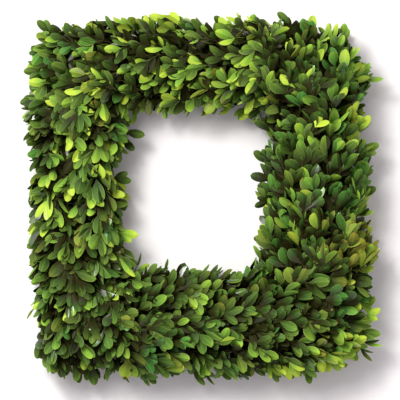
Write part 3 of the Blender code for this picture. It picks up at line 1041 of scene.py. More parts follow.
class GrowingTree:
    """A geometry tree with named inputs, which is run on a plan mesh and leaves a plain mesh."""

    def __init__(self, name: str, inputs: dict[str, str]) -> None:
        """Starts the tree.

        Args:
            name: The tree's name.
            inputs: Name of each input to its socket type.
        """
        self.tree = bpy.data.node_groups.new(name, "GeometryNodeTree")
        face = self.tree.interface
        face.new_socket("Geometry", in_out="INPUT", socket_type="NodeSocketGeometry")
        self.sockets = {
            label: face.new_socket(label, in_out="INPUT", socket_type=kind).identifier
            for label, kind in inputs.items()
        }
        face.new_socket("Geometry", in_out="OUTPUT", socket_type="NodeSocketGeometry")
        self.plan = add_node(self.tree, "NodeGroupInput")

    def named(self, name: str, kind: str) -> Socket:
        """Reads an attribute of the plan.

        Args:
            name: The attribute's name.
            kind: Its data type.

        Returns:
            Its socket.
        """
        inputs = {"Name": name}
        node = add_node(self.tree, "GeometryNodeInputNamedAttribute", inputs, data_type=kind)
        return node.outputs["Attribute"]

    def part(self, selection: Socket) -> bpy.types.Node:
        """Parts the plan's points into the selected ones and the rest."""
        inputs = {"Geometry": self.plan.outputs["Geometry"], "Selection": selection}
        return add_node(self.tree, "GeometryNodeSeparateGeometry", inputs, domain="POINT")

    def tube(self, lines: Socket, sides: Socket, radius: Socket) -> Socket:
        """Gives lines a round section, thick as their points' gauge says.

        Args:
            lines: Lines of edges.
            sides: Number of the section's sides.
            radius: Its radius where the gauge is 1.

        Returns:
            The tubes.
        """
        curves = add_node(self.tree, "GeometryNodeMeshToCurve", {"Mesh": lines})
        inputs = {"Resolution": sides, "Radius": radius}
        section = add_node(self.tree, "GeometryNodeCurvePrimitiveCircle", inputs)
        inputs = {
            "Curve": curves.outputs[0],
            "Profile Curve": section.outputs[0],
            "Scale": self.named("gauge", "FLOAT"),
            "Fill Caps": True,
        }
        return add_node(self.tree, "GeometryNodeCurveToMesh", inputs).outputs[0]

    def finish(self, parts: list[tuple[Socket, bpy.types.Material]]) -> None:
        """Ends the tree: makes each part real, gives it its material and joins them all.

        Args:
            parts: Each part's geometry and its material.
        """
        joined = add_node(self.tree, "GeometryNodeJoinGeometry")
        for source, material in reversed(parts):
            real = add_node(self.tree, "GeometryNodeRealizeInstances", {"Geometry": source})
            inputs = {"Geometry": real.outputs[0], "Material": material}
            dressed = add_node(self.tree, "GeometryNodeSetMaterial", inputs)
            self.tree.links.new(dressed.outputs[0], joined.inputs[0])
        add_node(self.tree, "NodeGroupOutput", {0: joined.outputs[0]})

    def grow(self, plan: bpy.types.Object, values: dict[str, object]) -> bpy.types.Object:
        """Runs the tree on a plan and keeps the result as the plan object's plain mesh.

        Args:
            plan: The object whose mesh is the plan.
            values: Input name to value.

        Returns:
            The same object with its finished mesh.
        """
        modifier = plan.modifiers.new("grow", "NODES")
        modifier.node_group = self.tree
        for name, value in values.items():
            modifier[self.sockets[name]] = value
        graph = bpy.context.evaluated_depsgraph_get()
        mesh = bpy.data.meshes.new_from_object(plan.evaluated_get(graph))
        plan.modifiers.remove(modifier)
        plan.data = mesh
        mesh.name = plan.name
        return plan


class FoliageTree(GrowingTree):
    """The tree that turns a plan of stems and leaf seats into one bunch."""

    def __init__(self, leaf: bpy.types.Material, stem: bpy.types.Material) -> None:
        """Makes the leaf kinds and the tree.

        Args:
            leaf: The leaves' material.
            stem: The stems' material.
        """
        super().__init__(
            "boxwood_bunch",
            {
                "Leaf Kinds": "NodeSocketCollection",
                "Stem Radius": "NodeSocketFloat",
                "Stem Sides": "NodeSocketInt",
                "Size Spread": "NodeSocketFloat",
                "Seed": "NodeSocketInt",
            },
        )
        self.kinds = bpy.data.collections.new("leaf_kinds")
        bpy.context.scene.collection.children.link(self.kinds)
        for kind in LeafKind:
            self.kinds.objects.link(kind.value.build(f"leaf_kind_{kind.index}"))
        given = self.plan.outputs
        parted = self.part(self.named("is_seat", "BOOLEAN"))
        leaves = self.leaves(parted.outputs["Selection"])
        stems = self.tube(parted.outputs["Inverted"], given["Stem Sides"], given["Stem Radius"])
        self.finish([(leaves, leaf), (stems, stem)])

    def leaves(self, seats: Socket) -> Socket:
        """Stands a leaf on every seat.

        Args:
            seats: The plan's seats.

        Returns:
            The leaves as instances.
        """
        tree, given = self.tree, self.plan.outputs
        points = add_node(tree, "GeometryNodeMeshToPoints", {"Mesh": seats}, mode="VERTICES")
        kinds = add_node(
            tree,
            "GeometryNodeCollectionInfo",
            {"Collection": given["Leaf Kinds"], "Separate Children": True, "Reset Children": True},
        )
        bounds = [
            add_node(tree, "ShaderNodeMath", {0: 1.0, 1: given["Size Spread"]}, operation=way)
            for way in ("SUBTRACT", "ADD")
        ]
        inputs = {2: bounds[0].outputs[0], 3: bounds[1].outputs[0], "Seed": given["Seed"]}
        spread = add_node(tree, "FunctionNodeRandomValue", inputs, data_type="FLOAT")
        inputs = {0: spread.outputs[1], 1: self.named("leaf_size", "FLOAT")}
        size = add_node(tree, "ShaderNodeMath", inputs, operation="MULTIPLY")
        inputs = {"Euler": self.named("leaf_turn", "FLOAT_VECTOR")}
        turn = add_node(tree, "FunctionNodeEulerToRotation", inputs)
        stood = add_node(
            tree,
            "GeometryNodeInstanceOnPoints",
            {
                "Points": points.outputs[0],
                "Instance": kinds.outputs[0],
                "Pick Instance": True,
                "Instance Index": self.named("leaf_kind", "INT"),
                "Rotation": turn.outputs[0],
                "Scale": size.outputs[0],
            },
        )
        return stood.outputs[0]

    def clear(self) -> None:
        """Removes the leaf kinds once every bunch has grown."""
        for obj in list(self.kinds.objects):
            bpy.data.objects.remove(obj)
        bpy.data.collections.remove(self.kinds)


class WireTree(GrowingTree):
    """The tree that turns a plan of lines and weld points into wire with beads of weld."""

    def __init__(self, wire: bpy.types.Material) -> None:
        """Makes the tree for wire of one finish.

        Args:
            wire: The wire's material.
        """
        super().__init__(
            "bent_wire",
            {
                "Wire Radius": "NodeSocketFloat",
                "Wire Sides": "NodeSocketInt",
                "Bead Radius": "NodeSocketFloat",
            },
        )
        tree, given = self.tree, self.plan.outputs
        parted = self.part(self.named("is_seat", "BOOLEAN"))
        inputs = {"Radius": given["Bead Radius"], "Subdivisions": 2}
        bead = add_node(tree, "GeometryNodeMeshIcoSphere", inputs)
        inputs = {"Mesh": parted.outputs["Selection"]}
        points = add_node(tree, "GeometryNodeMeshToPoints", inputs, mode="VERTICES")
        inputs = {"Points": points.outputs[0], "Instance": bead.outputs["Mesh"]}
        beads = add_node(tree, "GeometryNodeInstanceOnPoints", inputs)
        lines = self.tube(parted.outputs["Inverted"], given["Wire Sides"], given["Wire Radius"])
        self.finish([(lines, wire), (beads.outputs[0], wire)])


@dataclass
class Plan:
    """Lines and seats as the mesh that a growing tree reads.

    Attributes:
        points: Points of the lines.
        edges: Pairs of points' numbers that a line joins.
        gauges: Thickness at each point as a share of the usual.
        seats: The leaves' seats.
        beads: Middles of the beads of weld.
    """

    points: list[Vector] = field(default_factory=list)
    edges: list[tuple[int, int]] = field(default_factory=list)
    gauges: list[float] = field(default_factory=list)
    seats: list[Seat] = field(default_factory=list)
    beads: list[Vector] = field(default_factory=list)

    def add_line(self, line: Line, closed: bool = False) -> None:
        """Adds a line.

        Args:
            line: The line.
            closed: Whether its ends are joined.
        """
        first, count = len(self.points), len(line)
        self.points += [point for point, _ in line]
        self.gauges += [gauge for _, gauge in line]
        self.edges += [(first + i, first + i + 1) for i in range(count - 1)]
        if closed:
            self.edges.append((first + count - 1, first))

    def build(self, name: str) -> bpy.types.Object:
        """Makes the mesh object with its attributes, the seats after the lines' points.

        Args:
            name: The object's name.

        Returns:
            The object.
        """
        mesh = bpy.data.meshes.new(name)
        places = self.points + [seat.foot for seat in self.seats] + self.beads
        mesh.from_pydata([tuple(place) for place in places], self.edges, [])
        bare, stood = len(self.points), len(self.seats) + len(self.beads)
        columns = {
            ("is_seat", "BOOLEAN", "value"): [False] * bare + [True] * stood,
            ("gauge", "FLOAT", "value"): self.gauges + [0.0] * stood,
        }
        if self.seats:
            none = Vector((0.0, 0.0, 0.0))
            turns = [s.turn for s in self.seats]
            tints = [Vector((s.tint.light, s.tint.blue, s.tint.dry)) for s in self.seats]
            columns |= {
                ("leaf_size", "FLOAT", "value"): [1.0] * bare + [s.size for s in self.seats],
                ("leaf_kind", "INT", "value"): [0] * bare + [s.kind.index for s in self.seats],
                ("leaf_turn", "FLOAT_VECTOR", "vector"): [none] * bare + turns,
                ("leaf_tint", "FLOAT_VECTOR", "vector"): [none] * bare + tints,
                ("leaf_gloss", "FLOAT", "value"): [0.0] * bare + [s.tint.gloss for s in self.seats],
            }
        for (label, kind, key), values in columns.items():
            attribute = mesh.attributes.new(label, kind, "POINT")
            flat = [part for value in values for part in value] if key == "vector" else values
            attribute.data.foreach_set(key, flat)
        obj = bpy.data.objects.new(name, mesh)
        bpy.context.scene.collection.objects.link(obj)
        return obj


class Layer(Enum):
    """Shoots at one depth: their share of the reach, its spread, their pitch and lightness, which is
    painted shade on the deeper layers.
    """

    # The deep and inside layers are darker with painted shade inside the foliage
    DEEP = (0.50, 0.08, 1.20, -0.50)
    INSIDE = (0.74, 0.07, 1.06, -0.46)
    SURFACE = (0.97, 0.08, 1.0, 0.0)

    def __init__(self, share: float, spread: float, pitch: float, lift: float) -> None:
        """Keeps the layer's values.

        Args:
            share: Share of the reach.
            spread: Spread of that share.
            pitch: Distance between shoots as a share of the usual.
            lift: How much lighter its shoots are than the rest, negative where it is painted shade.
        """
        self.share = share
        self.spread = spread
        self.pitch = pitch
        self.lift = lift


@dataclass(frozen=True)
class PackedStems:
    """The bare lower ends of a bunch's stems, which lie along the run and show at the back.

    Attributes:
        count: Number in a bunch.
        lane_across: Distance from the run's line to the middle of an outer lane's stems.
        half_width: How far from that middle a stem may lie.
        low: Least height.
        pile: Height of the pile of stems on the run's line.
        pile_across: Distance from that line to the pile's edge.
        back: How far a stem starts behind its bunch.
        step: Distance between a stem's points.
        steps: Number of them.
        sway: How far they may lie off a straight line.
        gauge: Thickness of the lower end as a share of the usual.
        thinning: What is off it at each further point.
    """

    count: int = 16
    lane_across: float = 0.020
    half_width: float = 0.011
    low: float = 0.0135
    pile: float = 0.030
    pile_across: float = 0.031
    back: float = 0.02
    step: float = 0.022
    steps: int = 4
    sway: float = 0.003
    gauge: float = 1.1
    thinning: float = 0.12

    def lines(self, bunch: Bunch, rng: random.Random) -> list[Line]:
        """Draws the stem ends of one bunch.

        Args:
            bunch: The bunch.
            rng: The random draws.

        Returns:
            The stems' lines.
        """
        middles = {Lane.INNER: -self.lane_across, Lane.CROWN: 0.0, Lane.OUTER: self.lane_across}
        run = bunch.run
        share = run.length / bunch.lane.stations
        lines = []
        for _ in range(self.count):
            across = middles[bunch.lane] + rng.uniform(-self.half_width, self.half_width)
            pile = self.pile * math.cos(across / self.pile_across * math.pi / 2)
            height = self.low + rng.random() ** 2 * pile
            start = share * (bunch.station + rng.random()) - self.back
            shifts = [rng.uniform(-self.sway, self.sway) for _ in range(self.steps)]
            line = []
            for step, shift in enumerate(shifts):
                along = min(max(start + self.step * step, -across), run.length + across)
                point = run.core_point(along, across + shift, height + abs(shift) / 2)
                line.append((point, self.gauge - self.thinning * step))
            lines.append(line)
        return lines


@dataclass(frozen=True)
class Foliage:
    """The shoots of all the bunches.

    Attributes:
        runs: The wreath's four runs.
        envelope: The space that leaves keep to.
        patches: Where the leaves are lighter or darker, as painted light and shade.
        strays: The sprigs that stand out of the outline.
        column_pitch: Distance between shoots round a run.
        row_pitch: Distance between shoots along a run.
        apex_back: How far a shoot's apex lies behind the tips of its end leaves.
        root_back: How far back along the run a shoot's root lies from its apex.
        root_limit: How far sideways from the run's line a root may lie.
        stem_radius: Thickest radius of a stem.
        stem_sides: Number of a stem's sides.
        packing: The bare stem ends in each bunch.
        seed: Starts the random draws.
    """

    runs: tuple[Run, ...]
    envelope: Envelope
    patches: tuple[SunPatch, ...]
    strays: tuple[Stray, ...]
    column_pitch: float = 0.0192
    row_pitch: float = 0.0192
    apex_back: float = 0.0172
    root_back: float = 0.052
    root_limit: float = 0.016
    stem_radius: float = 0.0009
    stem_sides: int = 5
    packing: PackedStems = PackedStems()
    seed: int = 41

    # How far shoots stray from rows and columns as a share of the pitch, and their fullest reach
    stray_share = 0.3
    fullest = 1.06

    # A shoot leans out by these degrees, and by up to the second more on the wreath's sides
    lean_up = 21.0
    lean_splay = 22.0
    lean_spread = 8.0

    # Its root lies between these shares of the way from the run's line to its apex, and its bend
    # near the apex, neither too low
    root_range = (0.25, 0.62)
    lowest_root = 0.0145
    lowest_stem = 0.006
    stem_bend = 0.45

    # Its leaves face out of the foliage and upwards by these shares
    face_out = 0.75
    face_up = 0.45
    pair_counts = (3, 3, 4)
    vigour_range = (0.80, 1.04)

    def shoot(
        self, run: Run, along: float, angle: float, layer: Layer, rng: random.Random
    ) -> Shoot:
        """Draws one shoot whose end leaves reach a place of the surface.

        Args:
            run: The run that it grows along.
            along: Distance along the run.
            angle: Angle round the run.
            layer: How deep it lies.
            rng: The random draws.

        Returns:
            The shoot.
        """
        share = min(rng.gauss(layer.share, layer.spread), self.fullest)
        share *= self.envelope.swell_at(run.surface(along, angle)[0])
        tip, radial = run.surface(along, angle, share)
        flow = run.lay(along)
        splay = abs(math.sin(angle))
        lean = math.radians(rng.gauss(self.lean_up + self.lean_splay * splay, self.lean_spread))
        sideways = radial.cross(flow).normalized()
        yaw = rng.gauss(0.0, math.radians(run.side.growth.stray))
        heading = flow * math.cos(lean) + radial * math.sin(lean)
        heading = (heading * math.cos(yaw) + sideways * math.sin(yaw)).normalized()
        apex = self.envelope.inside(tip - heading * self.apex_back)
        core = run.core_point(run.foot_of(tip))
        root = core.lerp(apex, rng.uniform(*self.root_range)) - flow * self.root_back
        root = self.envelope.near_core(root, self.root_limit)
        root.z = max(root.z, self.lowest_root)
        control = apex - heading * (apex - root).length * self.stem_bend
        control.z = max(control.z, self.lowest_stem)
        # Sun patches add painted light and shade, and a deeper layer adds painted shade
        lift = sum(patch.lift * patch.share_at(tip) for patch in self.patches) + layer.lift
        dry = sum(patch.dry * patch.share_at(tip) for patch in self.patches)
        return Shoot(
            root=root,
            control=control,
            apex=apex,
            face=(radial * self.face_out + UP * self.face_up).normalized(),
            pairs=rng.choice(self.pair_counts),
            vigour=rng.uniform(*self.vigour_range) * run.side.growth.leaf_size,
            growth=run.side.growth,
            tint=Tint.draw(rng, run.side, lift, dry),
        )

    def plan(self, bunch: Bunch) -> Plan:
        """Plans the shoots of one bunch in staggered rows, with its strays and bare stem ends.

        Args:
            bunch: The bunch.

        Returns:
            The plan.
        """
        run, lane = bunch.run, bunch.lane
        rng = random.Random(f"{self.seed} {run.side.label} {lane.label} {bunch.station}")
        plan = Plan()
        for layer in Layer:
            for along, angle in self.places(bunch, layer, rng):
                shoot = self.shoot(run, along, angle, layer, rng)
                plan.add_line(shoot.stem())
                plan.seats += shoot.seats(rng, self.envelope)
        for stray in self.strays:
            if bunch.carries(stray):
                plan.add_line(stray.stem(self.envelope))
                plan.seats += stray.leaves(rng, self.envelope)
        for line in self.packing.lines(bunch, rng):
            plan.add_line(line)
        return plan

    def build(self, tree: FoliageTree, bunch: Bunch) -> tuple[bpy.types.Object, int]:
        """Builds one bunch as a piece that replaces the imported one.

        Args:
            tree: The tree for its leaves and stems.
            bunch: The bunch.

        Returns:
            The piece and the number of its leaves.
        """
        plan = self.plan(bunch)
        piece = tree.grow(
            plan.build(f"foliage_{bunch.label}"),
            {
                "Leaf Kinds": tree.kinds,
                "Stem Radius": self.stem_radius,
                "Stem Sides": self.stem_sides,
                "Size Spread": SIZE_SPREAD,
                "Seed": self.seed,
            },
        )
        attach(piece, "root")
        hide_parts(f"bunch_{bunch.label}")
        return piece, len(plan.seats)

    def places(self, bunch: Bunch, layer: Layer, rng: random.Random) -> list[tuple[float, float]]:
        """Draws where a layer's shoots come to the surface, as distances along and angles round.

        Args:
            bunch: The bunch.
            layer: The shoots' layer.
            rng: The random draws.

        Returns:
            A distance and an angle for each shoot.
        """
        run, lane = bunch.run, bunch.lane
        width = lane.high - lane.low
        reach = 0.5 * (run.reach_at(lane.low) + run.reach_at(lane.high)) * layer.share
        columns = max(1, round(width * reach / (self.column_pitch * layer.pitch)))
        places = []
        for column in range(columns):
            angle = lane.low + width * (column + 0.5) / columns
            low, high = run.span(angle)
            share = (high - low) / lane.stations
            rows = max(1, round(share / (self.row_pitch * layer.pitch)))
            for row in range(rows):
                stagger = 0.5 * (column % 2) - 0.25
                stray = rng.uniform(-self.stray_share, self.stray_share)
                place = (row + 0.5 + stagger + stray) / rows
                wander = rng.uniform(-self.stray_share, self.stray_share) * width / columns
                places.append((low + share * (bunch.station + place), angle + wander))
        return places


@dataclass(frozen=True)
class WireFrame:
    """The welded frame: two back rings, two raised front rings, cross ties and beads of weld.

    Attributes:
        runs: The wreath's four runs, whose corners the rings go round.
        corner_steps: Number of steps in a ring's bend.
        sides: Number of the wire's sides.
        bead_radius: Size of a bead of weld.
        bead_lift: How far its middle lies above a tie's.
        places: How far out of the runs' lines each ring lies, and how high.
    """

    runs: tuple[Run, ...]
    corner_steps: int = 8
    sides: int = 12
    bead_radius: float = 0.0019
    bead_lift: float = 0.0007

    places = (
        (BACK_RING_ACROSS, RING_RADIUS),
        (FRONT_RING_ACROSS, FRONT_RING_HEIGHT),
        (-FRONT_RING_ACROSS, FRONT_RING_HEIGHT),
        (-BACK_RING_ACROSS, RING_RADIUS),
    )

    def ring(self, across: float, height: float) -> Line:
        """Bends a ring round the corners.

        Args:
            across: How far out of the runs' lines it lies.
            height: How high it lies.

        Returns:
            Its line.
        """
        points = []
        for run in self.runs:
            corner = run.core_point(run.length, height=height)
            shift = across - RING_CORNER_RADIUS
            middle = corner + (run.out * shift + run.flow * shift)
            for step in range(self.corner_steps + 1):
                turn = math.pi / 2 * step / self.corner_steps
                bend = run.out * math.cos(turn) + run.flow * math.sin(turn)
                points.append((middle + bend * RING_CORNER_RADIUS, 1.0))
        return points

    def ties(self) -> list[Line]:
        """Lays the ties across the rings, at the corners and halfway.

        Returns:
            Their lines.
        """
        gauge = TIE_RADIUS / RING_RADIUS
        ties = []
        for run in self.runs:
            diagonal = (run.out - run.flow).normalized()
            middle = run.core_point(run.length / 2, height=0.0)
            halfway = [(middle + run.out * a + UP * h, gauge) for a, h in self.places]
            corner = [
                (run.start + diagonal * self.corner_stretch(a) + UP * h, gauge)
                for a, h in self.places
            ]
            ties += [corner, halfway]
        return ties

    @staticmethod
    def corner_stretch(across: float) -> float:
        """Returns the distance from a corner of the line to a ring's bent corner."""
        return (across - RING_CORNER_RADIUS) * math.sqrt(2.0) + RING_CORNER_RADIUS

    def build(self, tree: WireTree) -> bpy.types.Object:
        """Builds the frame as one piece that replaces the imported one.

        Args:
            tree: The tree for its wire.

        Returns:
            The piece.
        """
        plan = Plan()
        for across, height in self.places:
            plan.add_line(self.ring(across, height), closed=True)
        for tie in self.ties():
            plan.add_line(tie)
            plan.beads += [point + UP * self.bead_lift for point, _ in tie]
        piece = tree.grow(
            plan.build("frame_wire_rings"),
            {
                "Wire Radius": RING_RADIUS,
                "Wire Sides": self.sides,
                "Bead Radius": self.bead_radius,
            },
        )
        piece.data.shade_smooth()
        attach(piece, "root")
        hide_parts("wire_frame")
        return piece


@dataclass(frozen=True)
class BindingWire:
    """The thin wire that binds one run's stems to the front rings of the frame.

    Attributes:
        run: The run that it binds.
        radius: Half its thickness.
        gap: How far off the stems it lies.
        turns: Number of turns round the run.
        corner_points: Points of each bend.
        corner_share: Share of the stretch to the next corner that a bend takes.
        sides: Number of its sides.
        end_gap: How far from the crossing run's stems it ends.
        leaf_standout: How far the leaf tips stand out of the stems.
        back_across: How far out it passes under the front rings.
        stem_profile: The stems' outer half from below: shares of the half width, and heights.
    """

    run: Run
    radius: float = 0.0006
    gap: float = 0.0011
    turns: int = 6
    corner_points: int = 3
    corner_share: float = 0.15
    sides: int = 6
    end_gap: float = 0.007
    leaf_standout: float = 0.0215
    back_across: float = FRONT_RING_ACROSS + RING_BOX_RADIUS + 0.0005

    stem_profile = ((0.80, 0.01285), (1.00, 0.026), (0.85, 0.043), (0.38, 0.0555))

    def outline(self) -> list[tuple[float, float]]:
        """Works out one turn: round the stems and under the two front rings.

        Returns:
            Its points, across the run and up.
        """
        half_width = self.run.side.reach - self.leaf_standout
        turn = []
        for share, height in self.stem_profile:
            away = Vector((share * half_width, height - CORE_HEIGHT)).normalized() * self.gap
            turn.append((share * half_width + away.x, height + away.y))
        back = FRONT_RING_HEIGHT - RING_RADIUS - self.radius
        far = [(-across, height) for across, height in reversed(turn)]
        return turn + far + [(-self.back_across, back), (self.back_across, back)]

    def path(self) -> Line:
        """Winds the wire along the run, with its bends rounded.

        Returns:
            Its line.
        """
        outline = self.outline()
        inner_corner = max(side.reach for side in (Side.LEFT, Side.RIGHT)) - self.leaf_standout
        low = inner_corner + self.end_gap
        high = self.run.length - low
        pitch = (high - low) / self.turns
        count = len(outline)
        points = []
        for turn in range(self.turns):
            for index in range(count):
                before, here = Vector(outline[index - 1]), Vector(outline[index])
                after = Vector(outline[(index + 1) % count])
                start = here.lerp(before, self.corner_share)
                end = here.lerp(after, self.corner_share)
                for step in range(self.corner_points):
                    share = step / (self.corner_points - 1)
                    bend = start.lerp(here, share).lerp(here.lerp(end, share), share)
                    along = low + pitch * (turn + (index + 2 * self.corner_share * share) / count)
                    points.append((self.run.core_point(along, bend.x, bend.y), 1.0))
        return points

    def build(self, tree: WireTree) -> bpy.types.Object:
        """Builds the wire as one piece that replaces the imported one.

        Args:
            tree: The tree for its wire.

        Returns:
            The piece.
        """
        plan = Plan()
        plan.add_line(self.path())
        label = self.run.side.label
        piece = tree.grow(
            plan.build(f"binding_{label}"),
            {"Wire Radius": self.radius, "Wire Sides": self.sides, "Bead Radius": self.radius},
        )
        piece.data.shade_smooth()
        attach(piece, "root")
        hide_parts(f"binding_wire_{label}")
        return piece


class Finish:
    """A node material in the making."""

    def __init__(self, name: str) -> None:
        """Starts a material with its Principled shader.

        Args:
            name: The material's name.
        """
        self.material = bpy.data.materials.new(name)
        self.material.use_nodes = True
        self.tree = self.material.node_tree
        self.shader = self.tree.nodes["Principled BSDF"]

    def math(self, operation: str, *values: object) -> Socket:
        """Adds one step of arithmetic."""
        inputs = dict(enumerate(values))
        return add_node(self.tree, "ShaderNodeMath", inputs, operation=operation).outputs[0]

    def times(self, value: object, *factors: object) -> Socket:
        """Multiplies a value by each factor in turn.

        Args:
            value: The value.
            factors: The factors.

        Returns:
            The product.
        """
        for factor in factors:
            value = self.math("MULTIPLY", value, factor)
        return value

    def blend(self, share: object, first: object, second: object) -> Socket:
        """Mixes two colours."""
        inputs = {0: share, 6: first, 7: second}
        return add_node(self.tree, "ShaderNodeMix", inputs, data_type="RGBA").outputs[2]

    def rise(self, value: object, low: float, high: float) -> Socket:
        """Rises smoothly between two values.

        Args:
            value: What it follows.
            low: Where it is 0.
            high: Where it is 1.

        Returns:
            A value from 0 to 1.
        """
        inputs = {"Value": value, "From Min": low, "From Max": high}
        node = add_node(self.tree, "ShaderNodeMapRange", inputs, interpolation_type="SMOOTHSTEP")
        return node.outputs[0]

    def read(self, name: str) -> list[Socket]:
        """Reads an attribute of three parts.

        Args:
            name: The attribute's name.

        Returns:
            Its parts.
        """
        source = add_node(self.tree, "ShaderNodeAttribute", attribute_name=name)
        inputs = {0: source.outputs["Vector"]}
        return list(add_node(self.tree, "ShaderNodeSeparateXYZ", inputs).outputs)

    def read_one(self, name: str) -> Socket:
        """Reads an attribute of one part."""
        return add_node(self.tree, "ShaderNodeAttribute", attribute_name=name).outputs["Fac"]

    def noise(self, size: float, detail: float) -> Socket:
        """Adds noise on the piece's own axes.

        Args:
            size: Width of a lump.
            detail: Number of finer layers.

        Returns:
            The noise, mostly from 0.3 to 0.7.
        """
        place = add_node(self.tree, "ShaderNodeTexCoord").outputs["Object"]
        inputs = {"Vector": place, "Scale": 1.0 / size, "Detail": detail}
        return add_node(self.tree, "ShaderNodeTexNoise", inputs).outputs[0]

    def relief(self, height: Socket, strength: float, depth: float) -> None:
        """Gives the surface a relief.

        Args:
            height: Height over the surface.
            strength: How much of it shows.
            depth: Height of 1, in metres.
        """
        inputs = {"Height": height, "Strength": strength, "Distance": depth}
        bump = add_node(self.tree, "ShaderNodeBump", inputs)
        self.tree.links.new(bump.outputs[0], self.shader.inputs["Normal"])

    def feed(self, name: str, source: Socket) -> None:
        """Links a source to an input of the shader."""
        self.tree.links.new(source, self.shader.inputs[name])

    def hold(self, name: str, value: object) -> None:
        """Sets an input of the shader that is the same all over the surface."""
        self.shader.inputs[name].default_value = value


@dataclass(frozen=True)
class LeafFinish:
    """Preserved boxwood leaves: leathery and satin above, paler and dull below.

    Preserving in glycerine keeps them supple and deepens their green; the youngest stay lime. The
    light part of the attribute "leaf_tint" runs from old leaves at 0 to young ones at 1, and is
    lowered by painted shade on leaves that lie deep in the foliage.
    """

    # Greens from the oldest leaves to the youngest, the darkest also standing for painted shade deep
    # in the foliage, and the colours that are mixed into them
    old: str = "#2B2C0F"
    deep: str = "#2F4315"
    mid: str = "#5A7529"
    fresh: str = "#87B236"
    lime: str = "#BFD945"
    blue: str = "#2F7D34"
    dry: str = "#8C8426"
    # Pale for the lines along the midrib and the stalk, and for the painted highlight along the rim
    pale: str = "#C6D670"
    below: str = "#75823C"
    scorch: str = "#8A6A2C"

    # Lightness over the blade: mottle 2.4 mm across, and painted shade at the foot below painted
    # light at the tip, where the foot tucks under other leaves
    mottle_size: float = 0.0024
    mottle_contrast: float = 0.20
    foot_shade: float = 0.33
    tip_light: float = 0.54
    stops: tuple[float, ...] = (0.16, 0.50, 0.78)

    # Most of each other colour, the first three as pale lines along the midrib and the stalk and as a
    # painted highlight along the rim
    rib_share: float = 0.16
    stalk_share: float = 0.10
    rim_share: float = 0.30
    blue_share: float = 0.75
    dry_share: float = 0.8
    scorch_share: float = 0.7
    below_share: float = 0.35

    # Where each change begins and is complete: by lightness, by dryness, by gloss, along the length
    # and across the half width
    body_rise: Rise = (0.0, 0.5)
    dry_rise: Rise = (0.35, 1.6)
    scorch_rise: Rise = (0.72, 0.95)
    gloss_rise: Rise = (0.45, 1.0)
    stalk_rise: Rise = (0.0, 0.22)
    tip_rise: Rise = (0.86, 0.98)
    rib_rise: Rise = (0.02, 0.11)
    rim_rise: Rise = (0.84, 0.98)

    # Satin above and duller below, with a smooth coat on the leaves that gleam
    roughness: float = 0.52
    dullness_below: float = 0.2
    coat_roughness: float = 0.16
    ior: float = 1.45
    specular: float = 0.12

    # Side veins, which slant to the tip. The real ones are under 1 mm apart, too fine to show, so
    # they are drawn 2.6 mm apart, as a share of the length.
    vein_spacing: float = 0.11
    vein_slant: float = 0.3
    vein_height: float = 0.25
    relief_depth: float = 0.00012

    def build(self) -> bpy.types.Material:
        """Builds the material from the leaf's place, tint and side.

        Returns:
            The material, satin on most leaves and glossy on the few that gleam.
        """
        finish = Finish("preserved_boxwood_leaf")
        light, blue, dry = finish.read("leaf_tint")
        share, across, _ = finish.read("blade")
        across = finish.math("ABSOLUTE", across)
        underside = finish.read_one("underside")
        mottle = finish.noise(self.mottle_size, detail=3.0)
        contrast = self.mottle_contrast
        mottling = finish.math("MULTIPLY_ADD", mottle, contrast, -contrast / 2)
        lit = finish.math("ADD", light, mottling)
        # Painted shade at the leaf's foot and painted light at its tip
        painted_foot_to_tip_light = finish.math("MULTIPLY_ADD", share, self.tip_light, -self.foot_shade)
        lit = finish.math("ADD", lit, painted_foot_to_tip_light)
        body = finish.rise(lit, *self.body_rise)
        green = self.green(finish, lit)
        green = finish.blend(finish.times(blue, self.blue_share, body), green, linear(self.blue))
        dryness = finish.times(finish.rise(dry, *self.dry_rise), self.dry_share, body)
        green = finish.blend(dryness, green, linear(self.dry))
        lines = finish.times(self.lines(finish, share, across), body)
        green = finish.blend(lines, green, linear(self.pale))
        tips = finish.rise(share, *self.tip_rise)
        tips = finish.times(tips, finish.rise(dry, *self.scorch_rise), self.scorch_share, body)
        green = finish.blend(tips, green, linear(self.scorch))
        below = finish.times(underside, self.below_share, body)
        finish.feed("Base Color", finish.blend(below, green, linear(self.below)))
        dull = finish.math("MULTIPLY_ADD", underside, self.dullness_below, self.roughness)
        finish.feed("Roughness", dull)
        finish.feed("Coat Weight", finish.rise(finish.read_one("leaf_gloss"), *self.gloss_rise))
        finish.hold("Coat Roughness", self.coat_roughness)
        finish.hold("IOR", self.ior)
        finish.hold("Specular IOR Level", self.specular)
        slanted = finish.math("MULTIPLY_ADD", across, -self.vein_slant, share)
        turns = finish.math("DIVIDE", slanted, self.vein_spacing)
        veins = finish.math("SINE", finish.times(turns, math.tau))
        relief = finish.math("MULTIPLY_ADD", veins, self.vein_height, mottle)
        finish.relief(relief, strength=0.25, depth=self.relief_depth)
        return finish.material

    def green(self, finish: Finish, lit: Socket) -> Socket:
        """Gives the green of each lightness.

        Args:
            finish: The material in the making.
            lit: Lightness from old leaves at 0 to the youngest at 1, with painted light and shade in
                it.

        Returns:
            The colour.
        """
        ramp = add_node(finish.tree, "ShaderNodeValToRGB", {0: lit})
        stops = ramp.color_ramp.elements
        stops[0].position, stops[0].color = 0.0, linear(self.old)
        stops[1].position, stops[1].color = 1.0, linear(self.lime)
        for position, code in zip(self.stops, (self.deep, self.mid, self.fresh)):
            stops.new(position).color = linear(code)
        return ramp.outputs[0]

